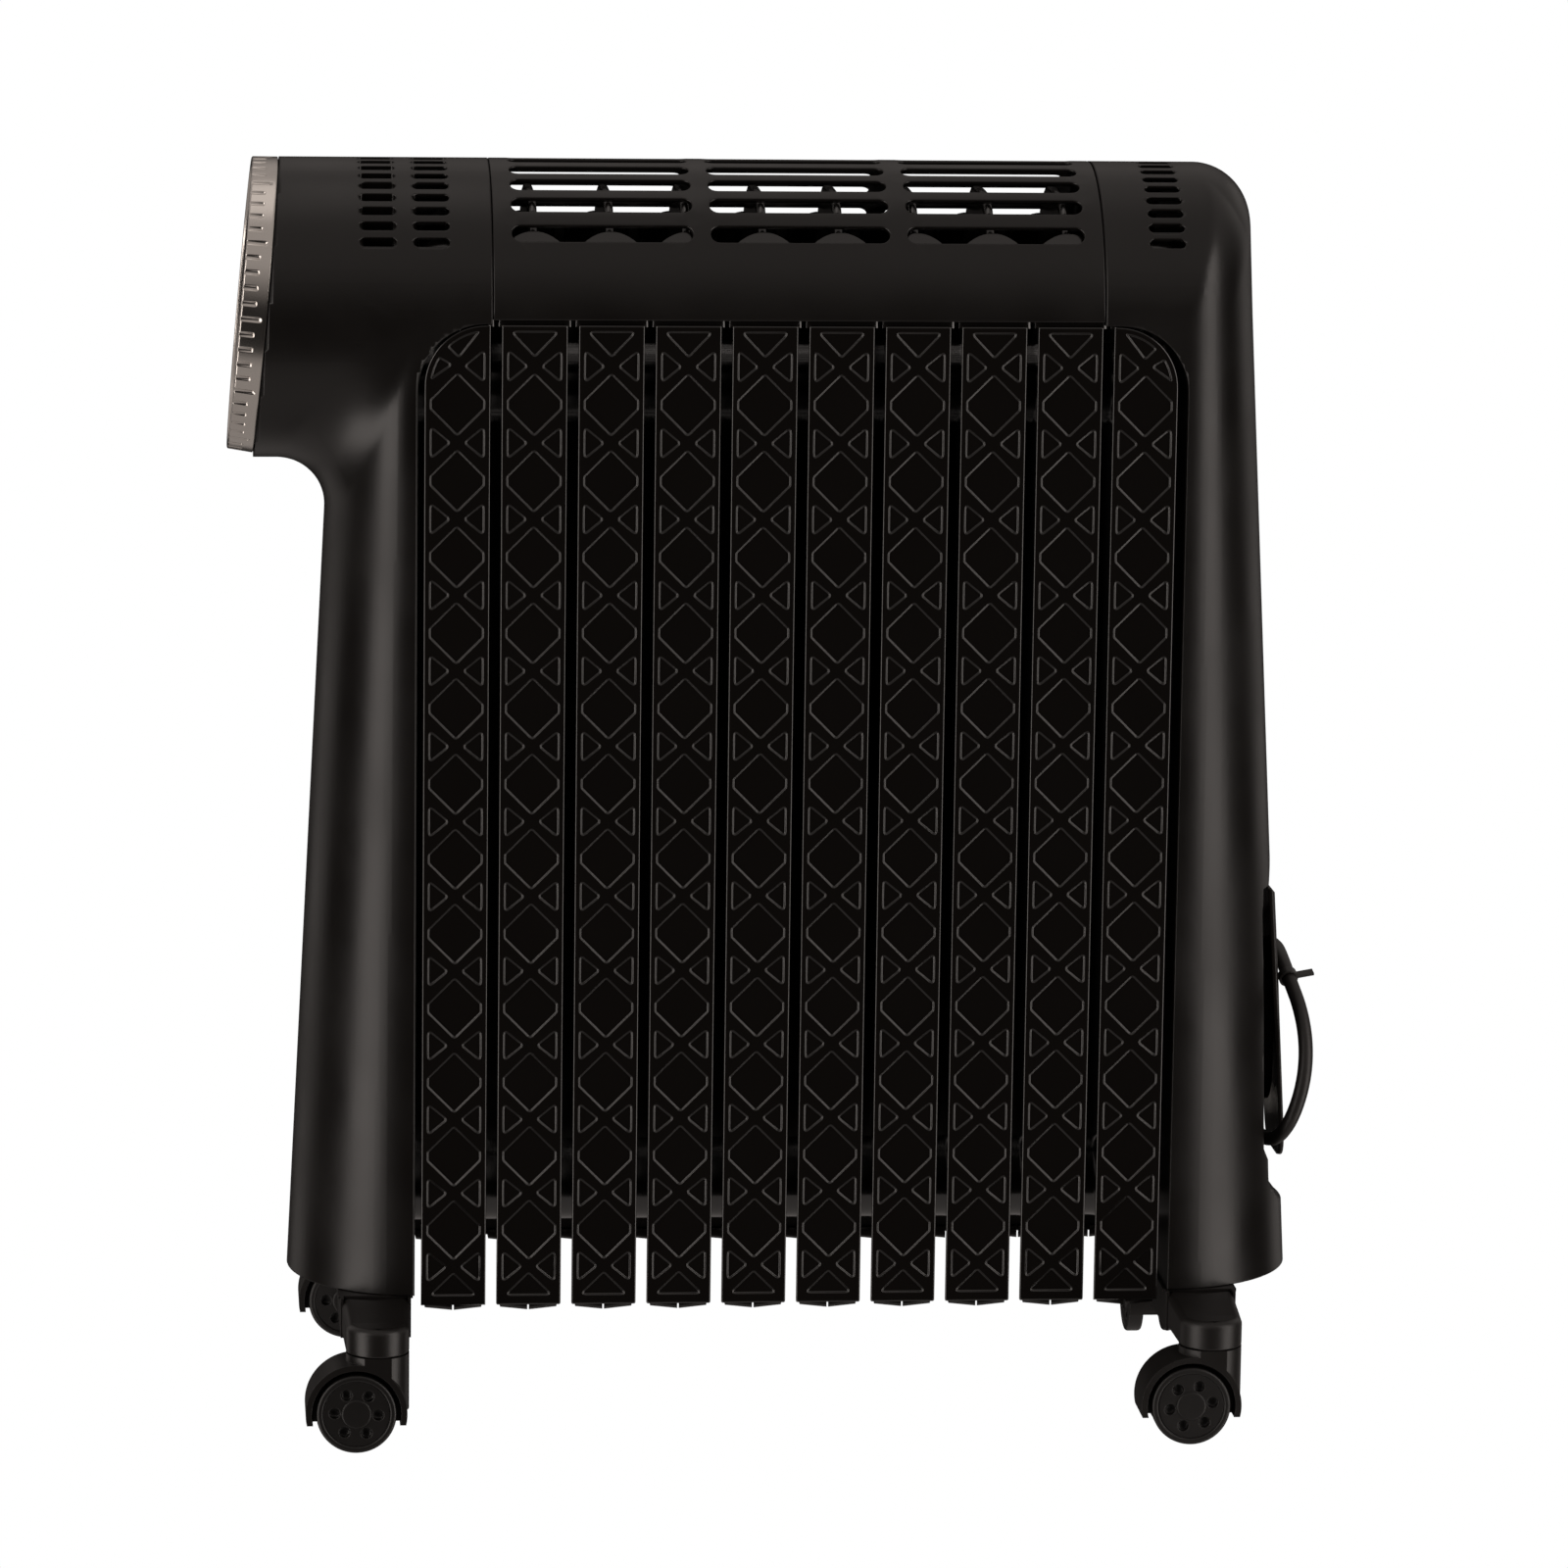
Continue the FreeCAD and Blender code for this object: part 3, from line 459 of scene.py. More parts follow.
def flap_cells(corner):
    """Outlines of the pressed cells, centred on u = 0; corner is -1 or 1 for an end fin."""
    cells = []
    side_gap, side_half, diamond_half, flat_half = 3.4, 8.3, 15.7, 2.2
    for k in range(CROSS_COUNT):
        z = CROSS_TOP - k * CROSS_PITCH
        for side in (-1, 1):
            if k == 0 and side == corner:
                continue
            cells.append(rounded([(side * CELL_HALF_WIDTH, z + side_half), (side * side_gap, z),
                                  (side * CELL_HALF_WIDTH, z - side_half)], 1.5))
        if k < CROSS_COUNT - 1:
            mid = z - CROSS_PITCH / 2
            cells.append(rounded([(0, mid + diamond_half), (CELL_HALF_WIDTH, mid + flat_half, 1.4),
                                  (CELL_HALF_WIDTH, mid - flat_half, 1.4), (0, mid - diamond_half),
                                  (-CELL_HALF_WIDTH, mid - flat_half, 1.4),
                                  (-CELL_HALF_WIDTH, mid + flat_half, 1.4)], 1.5))
    cells.append(rounded([(-12.1, FLAP_LOW + 5.1), (12.1, FLAP_LOW + 5.1),
                          (0, FLAP_LOW + 5.1 + 12.0)], 1.4))
    if corner == 0:
        cells.append(rounded([(-12.1, FLAP_HIGH - 3.2), (12.1, FLAP_HIGH - 3.2),
                              (0, FLAP_HIGH - 3.2 - 12.7)], 1.4))
    else:
        cells += corner_cells(corner)
    return cells


def corner_cells(corner):
    """The two cells that follow an end fin's rounded corner."""
    radius = 31.0
    centre = (corner * (FLAP_WIDTH / 2 - radius), FLAP_HIGH - radius)
    arc_radius = radius - 3.1

    def on_arc(angle):
        turn = math.radians(angle)
        return (centre[0] + corner * arc_radius * math.cos(turn),
                centre[1] + arc_radius * math.sin(turn), 0)

    low = [on_arc(angle) for angle in range(8, 33, 4)]
    low_cell = [(low[0][0], low[0][1], 1.3)] + low[1:-1] + [(low[-1][0], low[-1][1], 1.3),
                                                           (corner * 2.7, CROSS_TOP + 0.7, 1.4)]
    high = [on_arc(angle) for angle in range(46, 86, 4)]
    high_cell = [(high[0][0], high[0][1], 1.3)] + high[1:-1] + [(high[-1][0], high[-1][1], 1.3),
                                                               (-corner * 0.6, CROSS_TOP + 4.3, 1.4)]
    return [rounded(low_cell, 0.9), rounded(high_cell, 0.9)]


def flap_outline(corner):
    half = FLAP_WIDTH / 2
    low = [(-half, FLAP_LOW, 1.0), (half, FLAP_LOW, 1.0)]
    if corner == 0:
        return rounded(low + [(half, FLAP_HIGH, 0.8), (-half, FLAP_HIGH, 0.8)], 1.0)
    radius = 31.0
    arc = []
    for angle in range(0, 91, 5):
        turn = math.radians(angle)
        arc.append((half - radius + radius * math.cos(turn),
                    FLAP_HIGH - radius + radius * math.sin(turn)))
    outline = [(-half, FLAP_LOW), (half, FLAP_LOW)] + arc + [(-half, FLAP_HIGH)]
    return outline if corner > 0 else [(-u, v) for u, v in outline[::-1]]


def band(builder, mid_x, side):
    """The folded lower edge: set back from the flap, sloping down to a slit at the middle."""
    outer, inner = FLAP_FACE - 2.4, FLAP_FACE - 4.0
    for hand in (-1, 1):
        near, far = 0.45, FLAP_WIDTH / 2 - 1.0
        outline = [(near, FLAP_LOW + 3), (near, 59.8), (far * 0.93, 61.3), (far, FLAP_LOW + 3)]
        front = [(mid_x + hand * u, side * outer, z) for u, z in outline]
        rear = [(mid_x + hand * u, side * inner, z) for u, z in outline]
        builder.strip([front, rear], flip=hand * side > 0)
        builder.add(front, [(0, 1, 2, 3)])
        builder.add(rear, [(3, 2, 1, 0)])


def petal(builder, mid_x, side):
    """The flap's bent-in top: a shallow arch that leans towards the middle under the grille."""
    rows = []
    columns = 14
    for layer in (0.0, 1.2):
        for k in range(9):
            share = k / 8
            row = []
            for i in range(columns + 1):
                u = -18.0 + 36.0 * i / columns
                arch = 1 - (u / 18.0) ** 2
                height = share * (38.0 + 8.0 * arch)
                y = 73.0 - 16.5 * math.sin(share * math.pi / 2) * (height / 46.0) - layer
                row.append((mid_x + u * (1 - 0.1 * share), side * y, FLAP_HIGH - 1 + height))
            rows.append(row)
        if layer == 0.0:
            outer = rows
            rows = []
    shell = outer + rows[::-1]
    builder.strip(shell, closed_rows=False, closed_rings=True, flip=side < 0)
    for i in (0, columns):
        ends = [row[i] for row in shell]
        half = len(ends) // 2
        faces = [(k, k + 1, 2 * half - 2 - k, 2 * half - 1 - k) for k in range(half - 1)]
        builder.add(ends, faces)


def core(builder, mid_x):
    """The fin's plate: tall oval with a pressed rim and two oil collars."""
    def outline(shrink):
        points = []
        for i in range(64):
            angle = 2 * math.pi * i / 64
            c, s = math.cos(angle), math.sin(angle)
            y = math.copysign(abs(c) ** 0.55, c) * (70.0 - shrink)
            z = 353.0 + math.copysign(abs(s) ** 0.45, s) * (274.5 - shrink)
            points.append((y, z))
        return points

    profile = [(34, 4.6), (26, 5.2), (20, 2.6), (6, 2.3), (2, 2.3), (0, 1.6), (0, -1.6), (2, -2.3),
               (6, -2.3), (20, -2.6), (26, -5.2), (34, -4.6)]
    rows = [[(mid_x + x, y, z) for y, z in outline(shrink)] for shrink, x in profile]
    builder.strip(rows)
    for shrink, x in (profile[0], profile[-1]):
        points = [(mid_x + x, y, z) for y, z in outline(shrink)]
        middle = (mid_x + x, 0, 353.0)
        start = len(builder.verts)
        builder.verts += points + [middle]
        for i in range(64):
            face = (start + i, start + (i + 1) % 64, start + 64)
            builder.faces.append(face if x > 0 else face[::-1])
    for level in (111.0, 528.0):
        for hand in (-1, 1):
            steps = [(23.5, 4.0), (22.6, 5.5), (21.2, 8.0), (21.0, 11.0), (21.0, 19.15)]
            rows = lathe(steps, 48, lambda r, a, t, h=hand, lv=level: (
                mid_x + h * a, r * math.cos(t), lv + r * math.sin(t)))
            builder.strip(rows, flip=hand < 0)


def make_fin(number, total):
    """One fin: two embossed flaps, their bands and petals, and the core between them."""
    node = "fin_%02d" % number
    low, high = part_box(node)
    mid_x = (low.x + high.x) / 2 / MM
    corner = {1: -1, total: 1}.get(number, 0)
    whole = Builder()
    for side in (-1, 1):
        def place(u, v, depth, hand=side):
            return (mid_x + u, hand * (FLAP_FACE + depth), v)
        flap = plate(flap_outline(corner), flap_cells(corner), EDGE_ROUND,
                     CELL_EDGE, place, floor=True, back=-1.5)
        whole.add(flap.verts, flap.faces)
        band(whole, mid_x, side)
        petal(whole, mid_x, side)
    core(whole, mid_x)
    obj = new_piece("fin_panel_%02d" % number, whole.verts, whole.faces, "fin_paint", node=node)
    merge(obj)
    weigh_normals(obj)


fin_total = sum(1 for name in frame["nodes"] if name.startswith("fin_"))
for number in range(1, fin_total + 1):
    make_fin(number, fin_total)


# ------------------------------------------------------------------ housings
DRUM_Z, DRUM_R = 565.5, 76.0
HALF_DEPTH = 75.6
LOW_Z = 68.1
PANEL_AT = Vector((-256.2, 0, 566.5))
PANEL_TILT = math.radians(5.0)
PANEL_OUT = Vector((-math.cos(PANEL_TILT), 0, math.sin(PANEL_TILT)))
PANEL_UP = Vector((math.sin(PANEL_TILT), 0, math.cos(PANEL_TILT)))
PANEL_SIDE = Vector((0, 1, 0))


def drum_gap(x, y, z):
    """Signed distance to the drum's skin, and its outward direction."""
    radius = np.maximum(np.hypot(y, z - DRUM_Z), 1e-6)
    return radius - DRUM_R, (np.zeros_like(y), y / radius, (z - DRUM_Z) / radius)


def column_gap(x, y, z, chord, way, low_reach, high_reach, top_reach):
    """Signed distance to the half-ellipse column's skin, and its outward direction."""
    share = (z - LOW_Z) / (DRUM_Z - LOW_Z)
    reach = low_reach + (high_reach - low_reach) * share
    above = np.clip((z - DRUM_Z) / 80.0, 0, 2)
    reach = np.where(z > DRUM_Z, high_reach + (top_reach - high_reach) * above, reach)
    out = np.maximum((x - chord) * way, 0)
    level = np.sqrt((out / reach) ** 2 + (y / HALF_DEPTH) ** 2) + 1e-6
    slope_x, slope_y = out / reach ** 2 / level, y / HALF_DEPTH ** 2 / level
    slope = np.maximum(np.hypot(slope_x, slope_y), 1e-6)
    return (level - 1) / slope, (way * slope_x / slope, slope_y / slope, np.zeros_like(y))


def blend(first, second, size, way):
    """Round union (way 1) or intersection (way -1); nearly parallel skins aren't blended."""
    gap_a, normal_a = first
    gap_b, normal_b = second
    along = sum(a * b for a, b in zip(normal_a, normal_b))
    size = size * np.clip(1.25 * (1 - along), 0.02, 1)
    gap_a, gap_b = way * gap_a, way * gap_b
    corner = np.hypot(np.maximum(size - gap_a, 0), np.maximum(size - gap_b, 0))
    return way * (np.maximum(size, np.minimum(gap_a, gap_b)) - corner)


def front_gap(x, y, z):
    """Distance outside the front housing: drum and column blended."""
    column, turn = column_gap(x, y, z, -181.6, -1, 64.0, 40.3, 40.3)
    column = np.maximum(column, z - DRUM_Z)
    return blend(drum_gap(x, y, z), (column, turn), 26.0, 1)


def rear_gap(x, y, z):
    """Distance outside the rear housing: drum and column blended."""
    column = column_gap(x, y, z, 205.4, 1, 70.9, 41.6, 37.5)
    capped = blend(drum_gap(x, y, z), column, 27.0, -1)
    return np.where(z > DRUM_Z, capped, column[0])


def skin(gap, low, high, step):
    """The surface where gap is zero, inside a block, as points and quads."""
    def value(x, y, z):
        caps = np.maximum(np.maximum(low[0] + step - x, x - high[0] + step),
                          np.maximum(low[2] + step - z, z - high[2] + step))
        return np.maximum(gap(x, y, z), caps)

    axes = [np.arange(low[i], high[i] + step, step) for i in range(3)]
    x, y, z = np.meshgrid(*axes, indexing="ij")
    inside = value(x, y, z) < 0
    cells = [n - 1 for n in inside.shape]
    index = -np.ones(cells, dtype=int)
    corners = [inside[a:a + cells[0], b:b + cells[1], c:c + cells[2]]
               for a in (0, 1) for b in (0, 1) for c in (0, 1)]
    total = sum(corner.astype(int) for corner in corners)
    active = (total > 0) & (total < 8)
    index[active] = np.arange(active.sum())
    where = np.argwhere(active)
    points = np.stack([axes[i][where[:, i]] + step / 2 for i in range(3)], axis=1)
    for _ in range(5):
        here = value(*points.T)
        slope = np.stack([(value(*(points + shift).T) - value(*(points - shift).T)) / 0.1
                          for shift in 0.05 * np.eye(3)], axis=1)
        size = np.maximum((slope ** 2).sum(axis=1), 0.2)
        move = -slope * (here / size)[:, None]
        points += np.clip(move, -step, step)
    faces = []
    for axis in range(3):
        first = np.take(inside, range(inside.shape[axis] - 1), axis)
        second = np.take(inside, range(1, inside.shape[axis]), axis)
        crossing = np.argwhere(first != second)
        flips = first[tuple(crossing.T)]
        b, c = (axis + 1) % 3, (axis + 2) % 3
        keep = (crossing[:, b] > 0) & (crossing[:, c] > 0)
        keep &= (crossing[:, b] < cells[b]) & (crossing[:, c] < cells[c])
        crossing, flips = crossing[keep], flips[keep]
        ring = []
        for step_b, step_c in ((0, 0), (-1, 0), (-1, -1), (0, -1)):
            shifted = crossing.copy()
            shifted[:, b] += step_b
            shifted[:, c] += step_c
            ring.append(index[tuple(shifted.T)])
        quads = np.stack(ring, axis=1)
        quads[~flips] = quads[~flips][:, ::-1]
        faces.append(quads)
    return points, np.concatenate(faces)


def raw_mesh(name, verts, faces):
    mesh = bpy.data.meshes.new(name)
    mesh.from_pydata([tuple(c * MM for c in v) for v in verts], [], [tuple(map(int, f)) for f in faces])
    mesh.validate()
    obj = bpy.data.objects.new(name, mesh)
    SCENE.collection.objects.link(obj)
    return obj


def slice_off(obj, point, normal):
    """Cut away what lies on the normal's side of a plane and close the cut."""
    mesh = bmesh.new()
    mesh.from_mesh(obj.data)
    geometry = mesh.verts[:] + mesh.edges[:] + mesh.faces[:]
    result = bmesh.ops.bisect_plane(mesh, geom=geometry, dist=1e-6, plane_co=Vector(point) * MM,
                                    plane_no=Vector(normal), clear_outer=True)
    edges = [e for e in result["geom_cut"] if isinstance(e, bmesh.types.BMEdge)]
    bmesh.ops.edgenet_fill(mesh, edges=edges)
    mesh.to_mesh(obj.data)
    mesh.free()


def carve(obj, builder):
    """Subtract closed solids from a mesh."""
    tool = raw_mesh("carving_tool", builder.verts, builder.faces)
    mesh = bmesh.new()
    mesh.from_mesh(tool.data)
    bmesh.ops.recalc_face_normals(mesh, faces=mesh.faces)
    mesh.to_mesh(tool.data)
    mesh.free()
    modifier = obj.modifiers.new("carve", "BOOLEAN")
    modifier.operation = "DIFFERENCE"
    modifier.solver = "EXACT"
    modifier.object = tool
    shape = bpy.data.meshes.new_from_object(
        obj.evaluated_get(bpy.context.evaluated_depsgraph_get()))
    obj.modifiers.clear()
    old = obj.data
    obj.data = shape
    bpy.data.meshes.remove(old)
    bpy.data.objects.remove(tool)


def prism(outline, low, high, place):
    """A closed solid from a convex or plain outline; place turns (u, v, depth) into a point."""
    builder = Builder()
    outline = turn_ccw(outline)
    count = len(outline)
    verts = [place(u, v, depth) for depth in (low, high) for u, v in outline]
    faces = [(i, (i + 1) % count, count + (i + 1) % count, count + i) for i in range(count)]
    faces += [tuple(range(count - 1, -1, -1)), tuple(range(count, 2 * count))]
    builder.add(verts, faces)
    return builder


def across(u, v, depth):
    """Outlines in the side view, extruded along Y."""
    return (u, depth, v)


def window_outline(chord, seam, way):
    """The fin opening in the side view: straight below, with a rounded upper corner."""
    radius = 34.0
    top, far = DRUM_Z, seam - way * 30
    arc = []
    for i in range(25):
        angle = math.radians(90 * i / 24)
        arc.append((chord - way * radius * (1 - math.cos(angle)), top - radius * (1 - math.sin(angle))))
    return [(far, 40), (chord, 40)] + arc + [(far, top)]


def tunnel(low_x, high_x, radius, steps=128):
    """A cylinder along X at the drum's axis."""
    return prism(circle(0, 0, radius, steps), low_x, high_x,
                 lambda u, v, depth: (depth, u, DRUM_Z + v))


def stadium(mid_u, mid_v, length, height, steps=8):
    """An oblong outline with round ends."""
    outline = []
    radius = height / 2
    for way in (1, -1):
        for i in range(steps + 1):
            angle = math.radians(-90 + 180 * i / steps)
            outline.append((mid_u + way * (length / 2 - radius + radius * math.cos(angle)),
                            mid_v + way * radius * math.sin(angle)))
    return outline


def vent_tool(starts, length, pitch, height, depth=12):
    """Oblong pockets round the drum."""
    builder = Builder()
    for start in starts:
        for row in range(9):
            for side in (-1, 1):
                angle = side * math.radians((row + 0.5) * pitch)
                c, s = math.cos(angle), math.sin(angle)

                def place(u, v, r, c=c, s=s):
                    return (u, r * s + v * c, DRUM_Z + r * c - v * s)
                one = prism(stadium(start + length / 2, 0, length, height), DRUM_R - depth,
                            DRUM_R + 6, place)
                builder.add(one.verts, one.faces)
    return builder


def make_front_housing():
    """The front column and drum, with window, hollow inside and two groups of vents."""
    points, faces = skin(front_gap, (-274, -80, 63), (-138, 80, 646), 2.2)
    obj = raw_mesh("front_housing_shell", points, faces)
    slice_off(obj, (-144.6, 0, 0), (1, 0, 0))
    slice_off(obj, (0, 0, LOW_Z), (0, 0, -1))
    slice_off(obj, PANEL_AT, PANEL_OUT)
    carve(obj, prism(window_outline(-181.6, -144.6, -1), -120, 120, across))
    carve(obj, tunnel(-182.0, -130, 73.5))
    circle = [(71.6 * math.cos(2 * math.pi * i / 128), 71.6 * math.sin(2 * math.pi * i / 128))
              for i in range(128)]
    carve(obj, prism(circle, -26, 10, lambda u, v, depth: tuple(
        PANEL_AT + PANEL_UP * u + PANEL_SIDE * v + PANEL_OUT * depth)))
    carve(obj, vent_tool((-210.4, -183.8), 18.2, 6.9, 5.0))
    return obj


RECESS = [(300, 97), (273.4, 100.5), (265.9, 109.6), (264, 122.8), (258.4, 135), (255.6, 261),
          (255.6, 270.8), (260.4, 270.8), (263.4, 290), (300, 290)]


def make_rear_housing():
    """The rear column, with window, hollow inside, cord pocket and one group of vents."""
    points, faces = skin(rear_gap, (154, -80, 63), (282, 80, 646), 2.2)
    obj = raw_mesh("rear_housing_shell", points, faces)
    slice_off(obj, (162.8, 0, 0), (-1, 0, 0))
    slice_off(obj, (0, 0, LOW_Z), (0, 0, -1))
    carve(obj, prism(window_outline(205.4, 162.8, 1), -120, 120, across))
    carve(obj, tunnel(150, 205.8, 73.5))
    carve(obj, prism(RECESS, -120, 120, across))
    pocket = rounded([(-42, 111), (42, 111), (42, 265), (-42, 265)], 8, 6)
    carve(obj, prism(pocket, 238, 300, lambda u, v, depth: (depth, u, v)))
    carve(obj, vent_tool((185.6,), 18.2, 6.8, 5.0))
    return obj


def make_seam_lip(name, low_x, high_x):
    """The spigot of a housing that reaches under the grille's edge and shuts the seam."""
    lip = Builder()
    inner, outer = 71.6, 73.3
    rows = []
    for x, radius in ((low_x, inner), (low_x, outer), (high_x, outer), (high_x, inner)):
        turns = [math.radians(a) for a in range(-88, 89, 4)]
        rows.append([(x, radius * math.sin(turn), DRUM_Z + radius * math.cos(turn)) for turn in turns])
    lip.strip(rows, closed_rows=False, closed_rings=True)
    obj = new_piece(name, lip.verts, lip.faces, "housing_plastic")
    merge(obj)


make_seam_lip("front_seam_lip", -150, -141)
make_seam_lip("rear_seam_lip", 159, 168)
for obj, node in ((make_front_housing(), "front_housing"), (make_rear_housing(), "rear_housing")):
    obj.data.shade_smooth()
    finish_piece(obj, "housing_plastic", node=node)
    weigh_normals(obj)


# ------------------------------------------------------------------ top grille
def make_top_cover():
    """The curved grille between the housings."""
    def place(u, v, depth):
        angle = v / DRUM_R
        radius = DRUM_R + depth
        return (u, radius * math.sin(angle), DRUM_Z + radius * math.cos(angle))

    reach = math.radians(88.55) * DRUM_R
    outline = []
    for step in range(33):
        outline.append((-144.2, reach - 2 * reach * step / 32))
    for step in range(33):
        outline.append((162.4, -reach + 2 * reach * step / 32))
    holes = []
    for low_x, high_x in ((-134.7, -44.1), (-35.2, 54.6), (63.5, 152.8)):
        for degrees in (5.2, 17.6, 29.2, 41.0, 54.5):
            for side in (-1, 1):
                v = side * math.radians(degrees) * DRUM_R
                holes.append(stadium((low_x + high_x) / 2, v, high_x - low_x, 9.2, 10))
    edge = [(0.7, 0.0), (0.2, -0.2), (0.0, -0.7), (0.0, -2.5)]
    cover = plate(outline, holes, edge, edge, place, spacing=(18, 3.2), back=-2.5)
    obj = new_piece("top_cover_shell", cover.verts, cover.faces, "housing_plastic", node="top_cover")
    merge(obj)
    weigh_normals(obj)


make_top_cover()


# ------------------------------------------------------------------ control panel
def on_panel(u, v, depth):
    """Panel points: u up the face, v across it, depth out of it."""
    return tuple(PANEL_AT + PANEL_UP * u + PANEL_SIDE * v + PANEL_OUT * depth)


def around_panel(radius, along, angle):
    """A point at a radius, height and angle round the panel axis."""
    return on_panel(radius * math.cos(angle), radius * math.sin(angle), along)


def make_dial_ring():
    """The turning ring, with a scoop every six degrees and a longer one every thirty."""
    steps = 1440
    rows = []
    alongs = [0.6, 0.9, 1.6, 2.4, 3.2, 4.0, 4.8, 5.4, 5.8, 6.1, 6.4, 6.7, 7.0, 7.4, 8.0, 9.0, 10.0, 11.0,
              12.0, 12.6, 13.0]
    for along in alongs:
        row = []
        for i in range(steps):
            degrees = 360.0 * i / steps
            number = int(round(degrees / 6.0))
            offset = math.radians(degrees - 6.0 * number) * 75.0
            length = 9.8 if number % 5 == 0 else 7.0
            radius = 75.1 - (along - 0.6) / 13.1 - (0.25 if along == 0.6 else 0)
            start = 13.1 - length
            width = 1.15
            if along < start + width:
                width = math.sqrt(max(0.0, width ** 2 - (start + width - along) ** 2))
            if along > start and abs(offset) < width:
                hollow = 0.95 * math.sqrt(1 - (offset / width) ** 2)
                radius -= hollow * (0.45 + 0.55 * (13.1 - along) / length)
            angle = math.radians(degrees)
            row.append(around_panel(radius, along, angle))
        rows.append(row)
    inner = [(73.95, 13.35), (73.6, 13.62), (73.2, 13.7), (72.0, 13.7), (71.3, 13.6), (71.05, 13.2),
             (71.05, 0.6)]
    rows += lathe(inner, steps, around_panel)
    ring = Builder()
    ring.strip(rows, closed_rings=True)
    obj = new_piece("dial_ring_band", ring.verts, ring.faces, "ring_metal", body="dial_ring",
                    node="dial_ring")
    merge(obj)


def turned(name, profile, slot, node, body=BODY, steps=192, place=around_panel):
    """A closed piece of revolution from a closed profile."""
    piece = Builder()
    piece.strip(lathe(profile, steps, place), closed_rings=True)
    obj = new_piece(name, piece.verts, piece.faces, slot, body=body, node=node)
    merge(obj)
    weigh_normals(obj)
    return obj


BUTTONS = {"power_button": 180, "mode_button": 140, "timer_button": 220}


def make_panel():
    """The control head: turning ring, bezel, dark lens and three buttons."""
    make_dial_ring()
    turned("bezel_band", [(69.8, 4.0), (69.8, 11.6), (69.5, 12.3), (68.9, 12.6), (68.2, 12.5),
                          (67.2, 11.5), (66.6, 10.5), (66.5, 10.0), (66.5, 4.0)],
           "ring_metal", "bezel_ring")
    spots = {name: (44.0 * math.cos(math.radians(angle)), 44.0 * math.sin(math.radians(angle)))
             for name, angle in BUTTONS.items()}

    def domed(u, v, depth):
        return on_panel(u, v, 9.6 + depth - 0.9 * (u * u + v * v) / 66.4 ** 2)

    edge = [(0.6, 0.0), (0.2, -0.15), (0.0, -0.6), (0.0, -2.0)]
    lens = plate(circle(0, 0, 66.4, 160), [circle(u, v, 7.2) for u, v in spots.values()], edge,
                 [(0.3, 0.0), (0.08, -0.08), (0.0, -0.35), (0.0, -2.0)], domed, spacing=(5, 5), back=-2.0)
    obj = new_piece("display_window", lens.verts, lens.faces, "display_gloss", node="display_lens")
    merge(obj)
    weigh_normals(obj)
    for name, (u, v) in spots.items():
        def around_button(radius, along, angle, u=u, v=v):
            return on_panel(u + radius * math.cos(angle), v + radius * math.sin(angle), along)
        profile = [(0.01, 9.3), (3.0, 9.4), (5.0, 9.75), (6.2, 10.2), (6.75, 10.3), (7.0, 10.0),
                   (7.0, 5.2), (2.5, 5.2), (2.5, 1.2), (0.01, 1.2)]
        turned(name + "_cap", profile, "button_gloss", name, body=name, steps=48, place=around_button)


make_panel()


# ------------------------------------------------------------------ casters
# Each caster: swivel axis x and y, swivel angle, turn of the wheel holes in degrees.
CASTERS = {"front_left": (-201.4, -113.5, 0, -3), "front_right": (-201.4, 113.5, 0, -3),
           "rear_left": (222.4, -113.5, 0, 9), "rear_right": (222.4, 113.5, 90, 9)}
WHEEL_R, TRAIL = 20.2, 10.8
ARM_NOSE_R, ARM_LOW, ARM_HIGH, ARM_RISE = 16, 49.6, 64.2, 0.086
ARM_EDGE_R, ARM_UNDER_BRACKET_Y, ARM_UNDER_BRACKET_Z = 3.8, 37, 66.4


def make_wheel(corner, letter, way):
    """A wheel disc with a stepped face, six round holes and a domed hub cap."""
    swivel_x, swivel_y, swivel, spin = CASTERS[corner]
    c, s = math.cos(math.radians(swivel)), math.sin(math.radians(swivel))

    def place(u, v, depth):
        x, y, z = u - TRAIL, way * (14.2 + depth), v + WHEEL_R
        return (swivel_x + c * x - s * y, swivel_y + s * x + c * y, z)

    def around(radius, along, angle):
        return place(radius * math.cos(angle), radius * math.sin(angle), along)

    wheel = Builder()
    turns = [math.radians(60 * i + spin) for i in range(6)]
    holes = [circle(11 * math.cos(turn), 11 * math.sin(turn), 2.85, 28) for turn in turns]
    face = plate(circle(0, 0, 16.9, 96), holes, [(0.5, -0.7), (0.1, -0.8), (0.0, -1.2)],
                 [(0.35, -0.7), (0.1, -0.8), (0.0, -1.1), (0.0, -3.8)], place, floor=True)
    wheel.add(face.verts, face.faces)
    tyre = [(16.9, -1.2), (17.0, -0.5), (17.3, -0.12), (17.8, 0.0), (18.8, 0.0), (19.6, -0.25),
            (20.05, -0.8), (20.2, -1.5), (20.2, -6.5), (20.05, -7.3), (19.5, -8.0), (6.0, -8.0),
            (2.6, -8.0), (2.6, -3.0), (0.01, -3.0)]
    wheel.strip(lathe(tyre, 96, around))
    hub = [(7.3, -0.75), (7.3, -0.3), (7.0, -0.08), (6.4, 0.0), (3.0, 0.0), (0.01, 0.0)]
    wheel.strip(lathe(hub, 64, around))
    obj = new_piece("wheel_%s_%s" % (letter, corner), wheel.verts, wheel.faces, "wheel_plastic",
                    body="caster_wheel_%s_%s" % (letter, corner),
                    node="caster_wheel_%s_%s" % (letter, corner))
    merge(obj)
    weigh_normals(obj)


